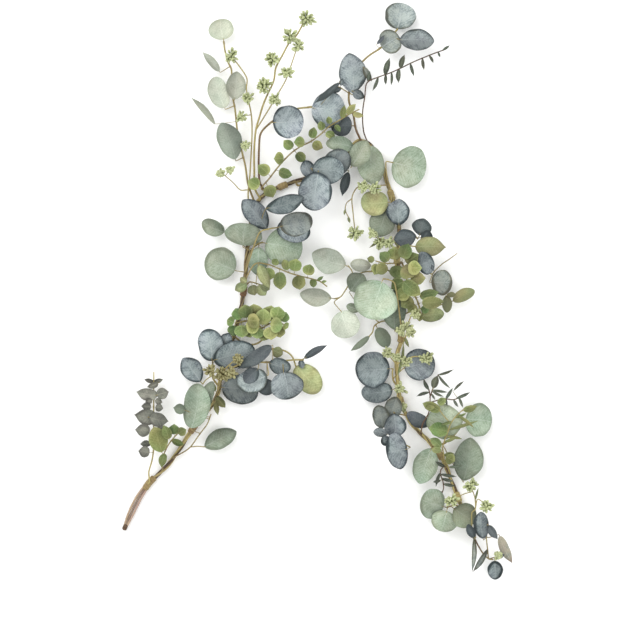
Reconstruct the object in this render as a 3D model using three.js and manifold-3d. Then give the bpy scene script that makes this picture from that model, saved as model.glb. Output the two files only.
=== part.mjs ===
// Eucalyptus garland with silver-dollar, baby and seeded sprays, lying flat and bent into an upside-down V.
// Millimetres, +Z up, +Y towards the crown of the bend. The vine rests on the flats of its wraps at Z = 0.
import * as THREE from 'three';
import { mergeVertices } from 'three/addons/utils/BufferGeometryUtils.js';
import Module from 'manifold-3d';

const wasm = await Module();
wasm.setup();

// The vine and the thicker wraps of tape round it, from their middle to their flats, and the bare tail.
const VINE_RADIUS = 4;
const WRAP_REACH = 6;
const WRAP_LENGTH = 16;
const WRAP_SHOULDER = 1.5;
const TAIL_WIRE_RADIUS = 2;
const TAIL_WIRE_SPACING = 4.3;
const TAIL_END_REACH = 4.2;

// Leaves, their stalks and the seeds of a head.
const BLADE_THICKNESS = 0.9;
const SLIM_KEEL = 1.8;
const STALK_HALF_WIDTH = 1.1;
const STALK_HALF_HEIGHT = 0.9;
const SEED_HALF_WIDTH = 3.4;
const SEED_HUB_REACH = 2;

// Air left between one spray and the next, and the foot with which a spray lies on the vine.
const SEAT_GAP = 0.3;
const STEM_GAP = 0.9;
const BLADE_GAP = 1.3;
const TABLE_GAP = 1.2;
const ROOT_SHIFT = 70;
const FOOT_LENGTH = 4;

// The vine's centre runs one wrap's reach over the table.
const VINE_HEIGHT = WRAP_REACH;

// Plan of the vine, from the bare tail at the left foot over the crown to the right foot.
const VINE_PATH = [
  [-348, -430], [-336, -402], [-321, -372], [-303, -346], [-262, -306], [-224, -248], [-190, -206],
  [-179, -184], [-172, -150], [-155, -96], [-141, -45], [-132, 0], [-127, 60], [-120, 118],
  [-112, 154], [-96, 173], [-62, 190], [2, 212], [32, 230], [56, 252], [74, 271],
  [89, 269], [103, 255], [115, 238], [122, 212], [134, 173], [143, 145], [149, 100],
  [144, 58], [146, 20], [151, -30], [152, -84], [144, -120], [146, -163], [151, -200],
  [170, -238], [200, -270], [222, -295], [236, -324], [254, -372], [265, -402], [284, -446],
];

// Places along the plan where tape is wound thick round the vine; the first ties the three tail wires to it.
const WRAPS = [3, 5, 8, 11, 16, 19, 25, 28, 31, 34, 37, 39];
const TAIL_KNOT = WRAPS[0];

// The kinds of blade: stations along the length with their share of the half width, whether the blade is
// dished from one point, how far its sides cup, its tip rises and its middle bows, and how steeply it may tilt
// to clear what lies under it. The last four are shares of the half width and of the length.
const KINDS = {
  round: {
    rows: [[0.08, 0.54], [0.3, 0.92], [0.6, 0.98], [0.87, 0.67]],
    dish: true, cup: 0.12, rise: 0.05, bow: 0.04, lean: 0.22,
  },
  oval: {
    rows: [[0.1, 0.46], [0.32, 0.92], [0.6, 0.94], [0.86, 0.56]],
    dish: true, cup: 0.14, rise: 0.05, bow: 0.04, lean: 0.22,
  },
  egg: {
    rows: [[0.16, 0.72], [0.5, 1.02], [0.83, 0.68]],
    dish: true, cup: 0.14, rise: 0.05, bow: 0.04, lean: 0.25,
  },
  point: {
    rows: [[0.26, 0.86], [0.62, 0.92]],
    dish: false, cup: 0, rise: 0.08, bow: 0.06, lean: 0.35,
  },
  small: {
    rows: [[0.3, 1.06], [0.72, 1.1]],
    dish: false, cup: 0, rise: 0.15, bow: 0.08, lean: 0.5,
  },
  slim: {
    rows: [[0.42, 1]],
    dish: false, cup: 0, rise: 0.06, bow: 0.05, lean: 1.2,
  },
};

// Colour and roughness of the sprays and of the vine.
const LOOKS = {
  blue: [0x84949a, 0.72],
  mint: [0xa8b9a8, 0.75],
  pale: [0xc6cfbf, 0.78],
  green: [0x7b9453, 0.7],
  olive: [0x9ba078, 0.74],
  mauve: [0x8f8d82, 0.76],
  twig: [0x5b6052, 0.78],
  seed: [0xa7b076, 0.7],
  vine: [0x85704a, 0.8],
};

// Sprays in the order they are laid on the vine, each with the half width that its stems keep clear. A stem row
// is its radius, its arch and its plan points; the first stem starts on the vine and the others on a stem before
// them. A leaf row is its kind, the plan of its heel and tip, its width and, where it leans, its sideways slope.
// A head row is its plan centre and reach. A foot over a crowded place settles by a little onto what is there.
const SPRAYS = [
  {
    name: 'silver_dollar_spray_pale', look: 'pale', side: 3,
    stems: [
      [2, 10, [-117, 160], [-124, 192], [-129, 225], [-137, 258], [-143, 285], [-148, 330], [-154, 360],
        [-154, 398], [-161, 414], [-166, 434], [-168, 450]],
    ],
    leaves: [
      ['round', -168, 447, -174, 490, 46],
      ['point', -176, 396, -207, 431, 15],
      ['round', -166, 330, -185, 385, 37],
      ['oval', -150, 338, -144, 395, 36],
      ['oval', -147, 237, -172, 303, 44, 0.3],
      ['slim', -184, 301, -229, 350, 12],
    ],
    heads: [],
  },
  {
    name: 'seeded_spray_left', look: 'seed', side: 2,
    stems: [
      [1.7, 12, [-121, 128], [-124, 170], [-121, 207], [-119, 240], [-117, 280], [-118, 315], [-124, 346],
        [-127, 364], [-126, 382], [-138, 402], [-152, 420]],
      [1.3, 4, [-122, 182], [-138, 182], [-152, 196], [-166, 208]],
    ],
    leaves: [],
    heads: [
      [-154, 424, 16], [-124, 346, 15], [-136, 314, 13], [-129, 262, 11], [-174, 212, 10], [-156, 218, 10],
    ],
  },
  {
    name: 'seeded_spray_crown', look: 'seed', side: 2,
    stems: [
      [2, 12, [-104, 166], [-112, 185], [-113, 218], [-113, 255], [-110, 290], [-103, 315], [-97, 335],
        [-89, 354],
        [-78, 378], [-74, 402], [-62, 425], [-50, 447], [-36, 462], [-24, 484]],
      [1.5, 4, [-110, 290], [-88, 325], [-72, 352], [-56, 380], [-48, 402], [-38, 432]],
    ],
    leaves: [],
    heads: [
      [-20, 490, 18], [-49, 458, 18], [-34, 440, 15], [-80, 417, 16], [-54, 392, 15],
      [-96, 368, 17], [-74, 343, 15],
    ],
  },
  {
    name: 'silver_dollar_spray_blue_top_right', look: 'blue', side: 4,
    stems: [
      [2.2, 12, [80, 273], [70, 292], [66, 315], [58, 340], [58, 358], [66, 384], [78, 408], [94, 424],
        [112, 436],
        [130, 452], [145, 472]],
      [1.3, 2, [58, 356], [42, 366], [30, 372]],
    ],
    leaves: [
      ['round', 71, 298, 25, 300, 40],
      ['oval', 65, 356, 58, 428, 50],
      ['round', 112, 434, 148, 458, 46],
      ['oval', 148, 452, 211, 449, 40],
      ['round', 146, 478, 152, 519, 57],
      ['point', 84, 402, 99, 376, 12],
      ['point', 60, 362, 87, 347, 17],
      ['slim', 44, 366, 26, 358, 9],
      ['slim', 42, 366, 46, 382, 9],
      ['slim', 108, 444, 122, 461, 7],
    ],
    heads: [],
  },
  {
    name: 'narrow_leaf_twig_top', look: 'twig', side: 2,
    stems: [
      [1.5, 8, [92, 266], [84, 288], [82, 320], [86, 350], [90, 374], [110, 384], [130, 392], [150, 401],
        [168, 410],
        [186, 418], [208, 427], [230, 435]],
    ],
    leaves: [
      ['slim', 110, 384, 99, 358, 6], ['slim', 124, 390, 124, 370, 6], ['slim', 134, 394, 133, 369, 5],
      ['slim', 148, 400, 147, 374, 9], ['slim', 168, 410, 175, 386, 6], ['slim', 190, 419, 193, 397, 6],
      ['slim', 202, 425, 210, 410, 5], ['slim', 218, 431, 222, 421, 4], ['slim', 150, 401, 158, 426, 10],
      ['slim', 122, 389, 131, 420, 11], ['slim', 92, 375, 95, 396, 7], ['slim', 226, 434, 240, 443, 5],
    ],
    heads: [],
  },
  {
    name: 'silver_dollar_spray_blue_crown', look: 'blue', side: 4,
    stems: [
      [2.2, 6, [-92, 176], [-103, 196], [-105, 226], [-104, 262], [-101, 284], [-86, 301], [-62, 318],
        [-38, 328],
        [-16, 331], [6, 334]],
    ],
    leaves: [
      ['round', -84, 300, -24, 306, 60],
      ['round', -15, 330, 50, 319, 66],
      ['slim', 40, 374, -5, 337, 13],
    ],
    heads: [],
  },
  {
    name: 'baby_spray_crown', look: 'green', side: 3,
    stems: [
      [1.7, 8, [-108, 158], [-100, 184], [-85, 204], [-67, 227], [-48, 247], [-30, 260], [-10, 270],
        [8, 283],
        [22, 296], [40, 307], [58, 318], [76, 327]],
    ],
    leaves: [
      ['small', -99, 185, -125, 199, 28], ['small', -80, 204, -106, 227, 27],
      ['small', -54, 238, -78, 238, 25],
      ['small', -41, 254, -60, 270, 22], ['small', -16, 264, -42, 266, 22],
      ['small', -10, 270, -5, 295, 19],
      ['small', 10, 284, 6, 306, 17], ['small', 24, 297, 20, 314, 12], ['small', 46, 310, 50, 334, 13],
      ['small', -92, 195, -79, 168, 28], ['small', -74, 218, -44, 208, 22],
      ['small', -40, 252, -21, 232, 20],
      ['small', -12, 268, 11, 257, 20], ['small', 12, 286, 33, 276, 17], ['small', 30, 301, 42, 286, 11],
      ['small', 50, 313, 70, 336, 14], ['small', 60, 319, 84, 314, 12],
    ],
    heads: [],
  },
  {
    name: 'silver_dollar_spray_mint_crown', look: 'mint', side: 4,
    stems: [
      [2, 4, [66, 262], [72, 246], [84, 232], [97, 236]],
    ],
    leaves: [
      ['egg', 66, 258, 16, 266, 28],
      ['oval', 98, 262, 103, 191, 50],
      ['oval', 62, 224, 90, 270, 38],
    ],
    heads: [],
  },
  {
    name: 'silver_dollar_leaf_mint_right', look: 'mint', side: 2,
    stems: [
      [1.6, 2, [118, 230], [124, 232], [132, 232], [139, 231]],
    ],
    leaves: [
      ['round', 136, 231, 195, 213, 76],
    ],
    heads: [],
  },
  {
    name: 'silver_dollar_spray_blue_cross', look: 'blue', side: 4,
    stems: [
      [2.2, 4, [-50, 196], [-34, 190], [-12, 196], [8, 208], [26, 222]],
    ],
    leaves: [
      ['egg', -10, 202, -22, 235, 26],
      ['round', 12, 224, 60, 242, 46],
      ['point', 56, 214, 45, 170, 17],
      ['round', -8, 220, 49, 214, 50],
      ['round', 2, 213, -8, 144, 60],
    ],
    heads: [],
  },
  {
    name: 'silver_dollar_spray_blue_left', look: 'blue', side: 4,
    stems: [
      [1.9, 3, [-117, 140], [-106, 132], [-96, 128]],
    ],
    leaves: [
      ['oval', -90, 112, -134, 164, 40],
      ['oval', -92, 147, -24, 168, 33],
    ],
    heads: [],
  },
  {
    name: 'silver_dollar_spray_mint_left', look: 'mint', side: 4,
    stems: [
      [2, 5, [-130, 30], [-126, 52], [-119, 72], [-108, 84], [-98, 88]],
    ],
    leaves: [
      ['round', -148, 37, -200, 62, 60, 0.12],
      ['egg', -167, 106, -207, 125, 30],
      ['round', -133, 82, -128, 122, 68],
      ['round', -98, 86, -27, 70, 68],
      ['oval', -104, 84, -107, 28, 36],
    ],
    heads: [],
  },
  {
    name: 'silver_dollar_spray_grey_left', look: 'blue', settle: 1.4, side: 3,
    stems: [
      [1.8, 3, [-122, 100], [-104, 104], [-84, 112], [-72, 114]],
    ],
    leaves: [
      ['round', -68, 110, -12, 104, 44],
      ['round', -72, 116, -8, 128, 44],
    ],
    heads: [],
  },
  {
    name: 'baby_spray_left', look: 'green', side: 8,
    stems: [
      [1.6, 6, [-132, 36], [-112, 48], [-90, 48], [-68, 40], [-48, 32], [-30, 27], [-10, 22], [6, 17],
        [18, 8]],
    ],
    leaves: [
      ['small', -88, 50, -88, 18, 27], ['small', -67, 42, -65, 2, 24], ['small', -52, 30, -60, 57, 15],
      ['small', -42, 27, -37, 58, 25], ['small', -32, 31, -31, 2, 25], ['small', -19, 19, -12, 48, 22],
      ['small', -8, 23, -6, 6, 13], ['slim', 0, 19, 12, 27, 6], ['slim', 8, 16, 18, 18, 5],
      ['small', -80, 44, -72, 58, 14],
    ],
    heads: [],
  },
  {
    name: 'baby_spray_grey', look: 'olive', side: 4,
    stems: [
      [1.5, 3, [-134, 12], [-122, 16], [-110, 14], [-98, 10]],
    ],
    leaves: [
      ['small', -122, 16, -148, 1, 18], ['small', -118, 15, -112, -8, 20], ['small', -110, 14, -92, -8, 20],
      ['small', -104, 12, -85, 2, 13], ['small', -126, 15, -138, 24, 12], ['point', -104, 46, -84, 3, 20],
    ],
    heads: [],
  },
  {
    name: 'baby_spray_left_middle', look: 'green', side: 3,
    stems: [
      [1.9, 5, [-150, -82], [-132, -94], [-112, -96], [-98, -86], [-100, -68], [-112, -56], [-128, -54],
        [-146, -58]],
      [1.6, 3, [-100, -68], [-88, -60], [-74, -56], [-60, -60]],
    ],
    leaves: [
      ['small', -112, -56, -114, -23, 30], ['small', -136, -56, -147, -31, 25],
      ['small', -88, -60, -82, -26, 31],
      ['small', -124, -55, -120, -84, 30], ['small', -146, -58, -153, -81, 23],
      ['small', -94, -64, -98, -90, 27],
      ['small', -66, -58, -55, -38, 23], ['small', -70, -57, -66, -84, 23],
      ['small', -146, -58, -162, -52, 19],
      ['small', -126, -54, -130, -24, 26], ['small', -98, -68, -96, -31, 29],
      ['small', -76, -57, -68, -28, 28],
      ['small', -136, -56, -134, -84, 27], ['small', -106, -60, -108, -86, 26],
      ['small', -84, -59, -82, -88, 27],
      ['small', -62, -59, -52, -66, 15], ['small', -98, -67, -128, -59, 30],
      ['small', -90, -61, -61, -62, 28],
      ['small', -130, -55, -103, -52, 27],
    ],
    heads: [],
  },
  {
    name: 'silver_dollar_spray_olive_inner', look: 'olive', side: 3,
    stems: [
      [1.9, 4, [-158, -106], [-134, -112], [-108, -108], [-80, -104], [-58, -108], [-45, -118],
        [-38, -136]],
    ],
    leaves: [
      ['egg', -84, -110, -62, -114, 20],
      ['round', -39, -138, 4, -182, 46],
    ],
    heads: [],
  },
  {
    name: 'silver_dollar_spray_blue_knee', look: 'blue', side: 4,
    stems: [
      [2, 4, [-176, -172], [-187, -158], [-190, -142], [-188, -132]],
      [1.4, 1, [-189, -152], [-200, -160], [-206, -168]],
    ],
    leaves: [
      ['small', -168, -100, -158, -75, 22],
      ['round', -189, -131, -197, -68, 46],
      ['oval', -207, -170, -242, -121, 38, 0.2],
      ['round', -172, -172, -106, -186, 53],
      ['round', -186, -125, -112, -104, 48],
    ],
    heads: [],
  },
  {
    name: 'silver_dollar_spray_blue_inner', look: 'blue', side: 4,
    stems: [
      [2, 4, [-154, -124], [-130, -128], [-108, -128], [-88, -128], [-64, -126], [-40, -124], [-24, -124]],
    ],
    leaves: [
      ['egg', -90, -158, -92, -188, 34],
      ['round', -90, -152, -144, -168, 44],
      ['egg', -92, -128, -47, -139, 30],
      ['round', -60, -146, -52, -195, 60],
      ['point', -82, -99, -144, -141, 25],
      ['egg', -106, -140, -130, -164, 27],
      ['point', -28, -124, 20, -97, 13],
      ['slim', -30, -123, -26, -141, 12],
    ],
    heads: [],
  },
  {
    name: 'seeded_spray_knee', look: 'seed', side: 3,
    stems: [
      [1.8, 4, [-184, -194], [-178, -176], [-172, -158], [-168, -144], [-152, -128], [-142, -122]],
      [1.3, 1, [-174, -162], [-190, -150], [-204, -140]],
    ],
    leaves: [
      ['small', -182, -190, -165, -210, 14], ['slim', -183, -194, -178, -224, 10],
      ['small', -180, -184, -192, -164, 9],
    ],
    heads: [
      [-170, -150, 17], [-190, -143, 15], [-154, -146, 13], [-142, -122, 12],
    ],
  },
  {
    name: 'silver_dollar_spray_mint_low', look: 'mint', side: 3,
    stems: [
      [1.5, 3, [-258, -300], [-240, -290], [-228, -281], [-210, -256], [-198, -240], [-191, -222]],
      [1.3, 1, [-228, -281], [-214, -280], [-201, -281]],
    ],
    leaves: [
      ['oval', -203, -283, -145, -253, 36, -0.2],
      ['egg', -206, -222, -187, -162, 25],
      ['round', -225, -246, -213, -166, 48],
      ['point', -236, -214, -258, -209, 19],
    ],
    heads: [],
  },
  {
    name: 'baby_spray_mauve', look: 'mauve', side: 8,
    stems: [
      [1.7, 8, [-300, -344], [-303, -326], [-297, -304], [-294, -280], [-294, -256], [-294, -232],
        [-294, -208],
        [-294, -186], [-294, -168], [-294, -146]],
    ],
    leaves: [
      ['small', -292, -164, -311, -159, 9], ['small', -296, -164, -277, -159, 9],
      ['small', -286, -166, -306, -173, 14],
      ['point', -287, -188, -326, -181, 23], ['point', -300, -189, -266, -181, 21],
      ['small', -288, -195, -309, -200, 14], ['small', -299, -195, -278, -201, 14],
      ['small', -289, -209, -316, -207, 17], ['small', -300, -209, -276, -211, 17],
      ['point', -287, -229, -329, -222, 29], ['point', -301, -227, -266, -234, 26],
      ['small', -290, -250, -327, -249, 27], ['small', -292, -248, -265, -252, 22],
      ['small', -292, -274, -318, -275, 15], ['small', -292, -291, -321, -287, 22],
    ],
    heads: [],
  },
  {
    name: 'baby_spray_low', look: 'green', side: 6,
    stems: [
      [1.6, 6, [-276, -322], [-281, -312], [-276, -294], [-267, -276], [-256, -262], [-244, -250]],
    ],
    leaves: [
      ['oval', -281, -294, -292, -244, 35], ['small', -273, -286, -279, -317, 17],
      ['small', -256, -262, -256, -238, 22], ['small', -252, -258, -234, -248, 20],
      ['small', -262, -268, -239, -277, 14], ['small', -264, -270, -275, -240, 20],
    ],
    heads: [],
  },
  {
    name: 'silver_dollar_spray_grey_top_right', look: 'mint', side: 3,
    stems: [
      [1.8, 2, [142, 148], [134, 152], [128, 154]],
    ],
    leaves: [
      ['oval', 127, 154, 108, 98, 48],
    ],
    heads: [],
  },
  {
    name: 'silver_dollar_spray_olive_top_right', look: 'olive', side: 3,
    stems: [
      [1.9, 2, [133, 176], [134, 168], [134, 160]],
    ],
    leaves: [
      ['round', 136, 160, 79, 160, 46],
    ],
    heads: [],
  },
  {
    name: 'seeded_spray_top_right', look: 'seed', settle: 3.75, side: 2,
    stems: [
      [1.5, 4, [124, 198], [112, 190], [96, 188], [80, 190], [70, 184], [63, 168], [65, 140], [68, 112]],
      [1.2, 1, [63, 167], [53, 158], [51, 146], [57, 132]],
    ],
    leaves: [
      ['slim', 57, 134, 59, 122, 5], ['slim', 51, 148, 49, 136, 4],
    ],
    heads: [
      [68, 104, 17], [84, 188, 14], [104, 184, 14],
    ],
  },
  {
    name: 'seeded_spray_right_shoulder', look: 'seed', side: 2,
    stems: [
      [1.6, 3, [148, 84], [138, 88], [124, 92], [108, 96], [98, 103]],
    ],
    leaves: [
      ['slim', 116, 94, 93, 77, 5], ['slim', 140, 88, 147, 79, 4],
    ],
    heads: [
      [113, 87, 14], [129, 86, 14], [100, 103, 12],
    ],
  },
  {
    name: 'silver_dollar_spray_blue_shoulder', look: 'blue', side: 3,
    stems: [
      [1.9, 4, [146, 112], [158, 106], [170, 104], [182, 94]],
    ],
    leaves: [
      ['oval', 138, 92, 178, 99, 33],
      ['oval', 182, 92, 192, 130, 36],
      ['egg', 182, 98, 208, 94, 28],
      ['oval', 148, 112, 148, 166, 42],
    ],
    heads: [],
  },
  {
    name: 'olive_leaf_spray_right', look: 'olive', side: 3,
    stems: [
      [1.7, 4, [150, 76], [160, 80], [172, 80], [184, 78]],
    ],
    leaves: [
      ['point', 176, 77, 232, 78, 36],
    ],
    heads: [],
  },
  {
    name: 'silver_dollar_spray_blue_right', look: 'blue', side: 3,
    stems: [
      [1.8, 4, [146, 34], [162, 40], [180, 42], [196, 36], [208, 30]],
      [1.2, 1, [208, 30], [214, 38], [226, 49], [238, 57], [253, 68]],
    ],
    leaves: [
      ['round', 174, 44, 209, 54, 42],
      ['round', 206, 16, 244, 16, 46],
      ['slim', 208, 34, 204, 48, 5],
    ],
    heads: [],
  },
  {
    name: 'olive_leaf_spray_right_low', look: 'olive', side: 3,
    stems: [
      [1.7, 4, [151, -46], [166, -38], [186, -32], [206, -30], [226, -24], [241, -20]],
    ],
    leaves: [
      ['egg', 186, -46, 229, -40, 26], ['egg', 240, -22, 284, 1, 23],
      ['egg', 234, -8, 234, -39, 18], ['small', 234, -8, 250, -6, 10],
    ],
    heads: [],
  },
  {
    name: 'silver_dollar_spray_mint_centre', look: 'pale', side: 3,
    stems: [
      [1.7, 5, [145, 44], [124, 40], [104, 36], [84, 34], [66, 26], [54, 6], [43, -10], [32, -14]],
      [1.2, 1, [42, -11], [31, -20], [36, -28], [44, -37]],
      [1.4, 1, [66, 26], [62, 38], [56, 46]],
    ],
    leaves: [
      ['oval', 58, 44, -9, 68, 46],
      ['egg', 97, 45, 60, 49, 24],
      ['oval', 30, -11, -31, -5, 33],
      ['round', 44, -36, 61, -83, 53],
    ],
    heads: [],
  },
  {
    name: 'silver_dollar_spray_grey_centre', look: 'mint', side: 3,
    stems: [
      [1.7, 4, [151, -66], [138, -58], [120, -54], [104, -62], [100, -74], [94, -82]],
      [1.4, 2, [112, -56], [96, -44], [82, -36]],
    ],
    leaves: [
      ['slim', 94, -81, 59, -109, 12],
      ['egg', 82, -38, 53, -26, 17],
      ['egg', 104, -58, 128, -101, 27, -0.3],
      ['oval', 140, -70, 138, 2, 44],
      ['oval', 60, 0, 84, 30, 40],
    ],
    heads: [],
  },
  {
    name: 'baby_spray_right', look: 'green', settle: 5.65, side: 3,
    stems: [
      [1.9, 8, [145, 66], [152, 52], [158, 36], [162, 18], [168, 2], [178, -12], [184, -28], [186, -42]],
      [1.5, 3, [152, 52], [138, 50], [122, 50], [106, 54]],
    ],
    leaves: [
      ['small', 112, 52, 103, 29, 24], ['small', 148, 52, 143, 20, 33], ['small', 162, 20, 133, 4, 31],
      ['small', 176, -10, 151, -29, 28], ['small', 138, 50, 140, 80, 29], ['small', 154, 50, 182, 66, 28],
      ['small', 162, 20, 195, 23, 29], ['small', 178, -12, 218, -2, 23], ['small', 186, -40, 201, -28, 17],
      ['small', 106, 54, 90, 59, 14], ['small', 130, 49, 106, 31, 26], ['small', 147, 47, 174, 25, 31],
      ['small', 168, 2, 143, -15, 29], ['small', 183, -22, 163, -38, 22], ['small', 132, 50, 112, 69, 22],
      ['small', 152, 52, 164, 85, 28], ['small', 157, 40, 188, 41, 28], ['small', 155, 16, 186, -8, 30],
      ['small', 182, -22, 227, -18, 25], ['small', 186, -40, 184, -55, 14],
    ],
    heads: [],
  },
  {
    name: 'silver_dollar_leaf_mint_centre', look: 'mint', settle: 8.6, side: 3,
    stems: [
      [1.8, 2, [150, 0], [140, 12], [130, 20], [119, 22]],
    ],
    leaves: [
      ['round', 118, 20, 88, -48, 80],
    ],
    heads: [],
  },
  {
    name: 'seeded_spray_right', look: 'seed', side: 2,
    stems: [
      [1.6, 4, [153, -104], [158, -88], [162, -70], [166, -52], [172, -38]],
      [1.2, 1, [158, -86], [148, -76], [142, -67]],
    ],
    leaves: [
      ['slim', 160, -84, 166, -102, 6],
    ],
    heads: [
      [160, -64, 14], [150, -72, 12], [167, -74, 11], [176, -42, 12],
    ],
  },
  {
    name: 'silver_dollar_spray_blue_right_leg', look: 'blue', side: 3,
    stems: [
      [1.9, 3, [145, -176], [138, -162], [136, -150], [137, -140]],
      [1.5, 2, [137, -158], [148, -146], [158, -138]],
    ],
    leaves: [
      ['round', 136, -178, 80, -184, 38],
      ['round', 136, -140, 69, -140, 65],
      ['round', 157, -138, 212, -126, 58],
    ],
    heads: [],
  },
  {
    name: 'seeded_spray_right_leg', look: 'seed', side: 2,
    stems: [
      [1.6, 4, [147, -166], [145, -148], [146, -132], [158, -124], [176, -118], [194, -120]],
      [1.3, 2, [146, -134], [136, -124], [127, -112]],
      [1.3, 2, [146, -160], [150, -178], [152, -204]],
    ],
    leaves: [
      ['slim', 144, -152, 155, -88, 6],
    ],
    heads: [
      [127, -111, 13], [143, -118, 11], [160, -127, 13], [195, -121, 15], [150, -176, 14], [153, -209, 12],
    ],
  },
  {
    name: 'silver_dollar_spray_blue_right_low', look: 'blue', side: 3,
    stems: [
      [1.8, 4, [160, -218], [146, -222], [136, -236], [138, -256], [152, -272], [168, -282]],
    ],
    leaves: [
      ['egg', 143, -190, 129, -231, 32],
      ['egg', 118, -246, 109, -205, 31],
      ['oval', 138, -220, 140, -264, 40],
      ['egg', 126, -257, 101, -252, 17],
      ['egg', 132, -265, 115, -273, 19],
      ['round', 169, -286, 124, -290, 66],
      ['egg', 202, -241, 162, -219, 26],
    ],
    heads: [],
  },
  {
    name: 'silver_dollar_spray_mint_right_leg', look: 'mint', side: 4,
    stems: [
      [2, 5, [214, -284], [226, -276], [238, -268], [252, -254], [260, -240], [262, -230]],
      [1.4, 2, [226, -276], [214, -280], [207, -284]],
    ],
    leaves: [
      ['oval', 208, -280, 184, -347, 46],
      ['oval', 264, -342, 277, -264, 54],
      ['oval', 232, -276, 226, -202, 64],
      ['round', 260, -230, 315, -236, 62],
    ],
    heads: [],
  },
  {
    name: 'narrow_leaf_twig_right_leg', look: 'twig', side: 2,
    stems: [
      [1.6, 5, [178, -250], [190, -238], [200, -220], [203, -200], [202, -180], [193, -160]],
      [1.3, 2, [203, -192], [208, -176], [218, -150]],
      [1.3, 2, [203, -200], [218, -196], [232, -194], [246, -195], [262, -188]],
    ],
    leaves: [
      ['slim', 218, -151, 247, -140, 5], ['slim', 220, -152, 241, -176, 5],
      ['slim', 246, -178, 265, -161, 5],
      ['slim', 250, -194, 276, -181, 6], ['slim', 207, -178, 236, -182, 5],
      ['slim', 203, -182, 178, -190, 6],
      ['point', 206, -180, 217, -151, 13], ['slim', 231, -194, 244, -173, 6],
      ['slim', 232, -194, 234, -207, 4],
      ['slim', 245, -195, 254, -209, 5], ['slim', 255, -192, 262, -210, 5],
      ['slim', 205, -184, 212, -196, 4],
      ['slim', 207, -180, 228, -190, 5], ['slim', 200, -178, 191, -158, 7],
    ],
    heads: [],
  },
  {
    name: 'baby_spray_right_leg', look: 'green', side: 4,
    stems: [
      [1.5, 5, [232, -314], [228, -296], [226, -278], [234, -256], [240, -238], [252, -222], [264, -212]],
      [1.2, 1, [240, -238], [226, -222], [214, -206], [206, -200]],
    ],
    leaves: [
      ['small', 222, -214, 189, -201, 18], ['small', 214, -206, 230, -192, 14],
      ['slim', 214, -207, 193, -211, 9],
      ['small', 236, -252, 200, -245, 26], ['slim', 262, -214, 288, -206, 13],
      ['slim', 248, -228, 269, -218, 5],
      ['slim', 238, -250, 292, -232, 6],
      ['slim', 236, -262, 262, -266, 6], ['slim', 244, -236, 222, -240, 6],
      ['slim', 256, -226, 282, -246, 6], ['slim', 230, -272, 253, -260, 6],
      ['small', 227, -284, 203, -264, 16],
      ['small', 227, -286, 205, -284, 12], ['slim', 228, -296, 249, -293, 8],
      ['small', 228, -296, 248, -306, 20],
    ],
    heads: [],
  },
  {
    name: 'narrow_leaf_twig_right_low', look: 'twig', side: 2,
    stems: [
      [1.5, 3, [240, -330], [230, -316], [222, -326], [227, -344], [228, -356], [223, -370]],
    ],
    leaves: [
      ['slim', 230, -318, 264, -314, 6], ['slim', 223, -330, 252, -334, 6],
      ['slim', 222, -327, 214, -353, 6],
      ['slim', 226, -338, 246, -342, 6], ['slim', 227, -348, 250, -352, 6],
      ['slim', 226, -340, 208, -344, 6],
      ['slim', 226, -362, 207, -366, 5], ['slim', 230, -317, 212, -306, 7],
    ],
    heads: [],
  },
  {
    name: 'silver_dollar_spray_mint_right_low', look: 'mint', side: 3,
    stems: [
      [1.8, 3, [258, -384], [248, -386], [240, -388], [234, -390]],
    ],
    leaves: [
      ['round', 231, -386, 187, -375, 56],
      ['round', 237, -395, 222, -432, 48],
      ['oval', 241, -388, 284, -416, 48],
    ],
    heads: [],
  },
  {
    name: 'seeded_spray_right_low', look: 'seed', side: 2,
    stems: [
      [1.5, 3, [268, -408], [278, -398], [284, -392], [284, -374], [280, -360], [276, -350]],
      [1.2, 1, [284, -392], [288, -374], [296, -378], [303, -386]],
      [1.2, 1, [280, -360], [262, -366], [246, -376]],
    ],
    leaves: [
      ['slim', 284, -376, 290, -352, 4],
    ],
    heads: [
      [276, -348, 16], [304, -387, 15], [241, -377, 15],
    ],
  },
  {
    name: 'silver_dollar_spray_blue_tail', look: 'blue', side: 3,
    stems: [
      [1.8, 4, [281, -438], [290, -458], [300, -474], [310, -483], [318, -484]],
      [1.5, 2, [309, -482], [307, -462], [305, -444]],
      [1.3, 1, [310, -483], [326, -478], [340, -472]],
    ],
    leaves: [
      ['egg', 298, -444, 294, -396, 28],
      ['egg', 286, -448, 270, -418, 15],
      ['point', 307, -420, 324, -445, 14],
      ['slim', 280, -446, 277, -507, 9],
      ['slim', 303, -466, 278, -505, 10],
      ['egg', 321, -482, 321, -520, 28],
      ['point', 327, -439, 350, -488, 18],
      ['slim', 318, -482, 336, -470, 7],
    ],
    heads: [
      [324, -472, 9],
    ],
  },
];

// A repeatable number from -1 to 1 for each seed.
function wobble(seed) {
  const s = Math.sin(seed * 12.9898 + 4.1414) * 43758.5453;
  return 2 * (s - Math.floor(s)) - 1;
}

// Heights already taken over the table, on a square grid of cells.
const CELL = 3;
const COLS = 270;
const ROWS = 390;
const WEST = -400;
const SOUTH = -580;
const OPEN = -1e6;

function newField(height) {
  return new Float64Array(COLS * ROWS).fill(height);
}

function cellAt(x, y) {
  return Math.floor((y - SOUTH) / CELL) * COLS + Math.floor((x - WEST) / CELL);
}

function cover(field, x, y, z, reach) {
  const n = Math.ceil(reach / CELL);
  for (let i = -n; i <= n; i += 1) {
    for (let j = -n; j <= n; j += 1) {
      const cell = cellAt(x + (reach * i) / n, y + (reach * j) / n);
      field[cell] = Math.max(field[cell], z);
    }
  }
}

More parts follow.
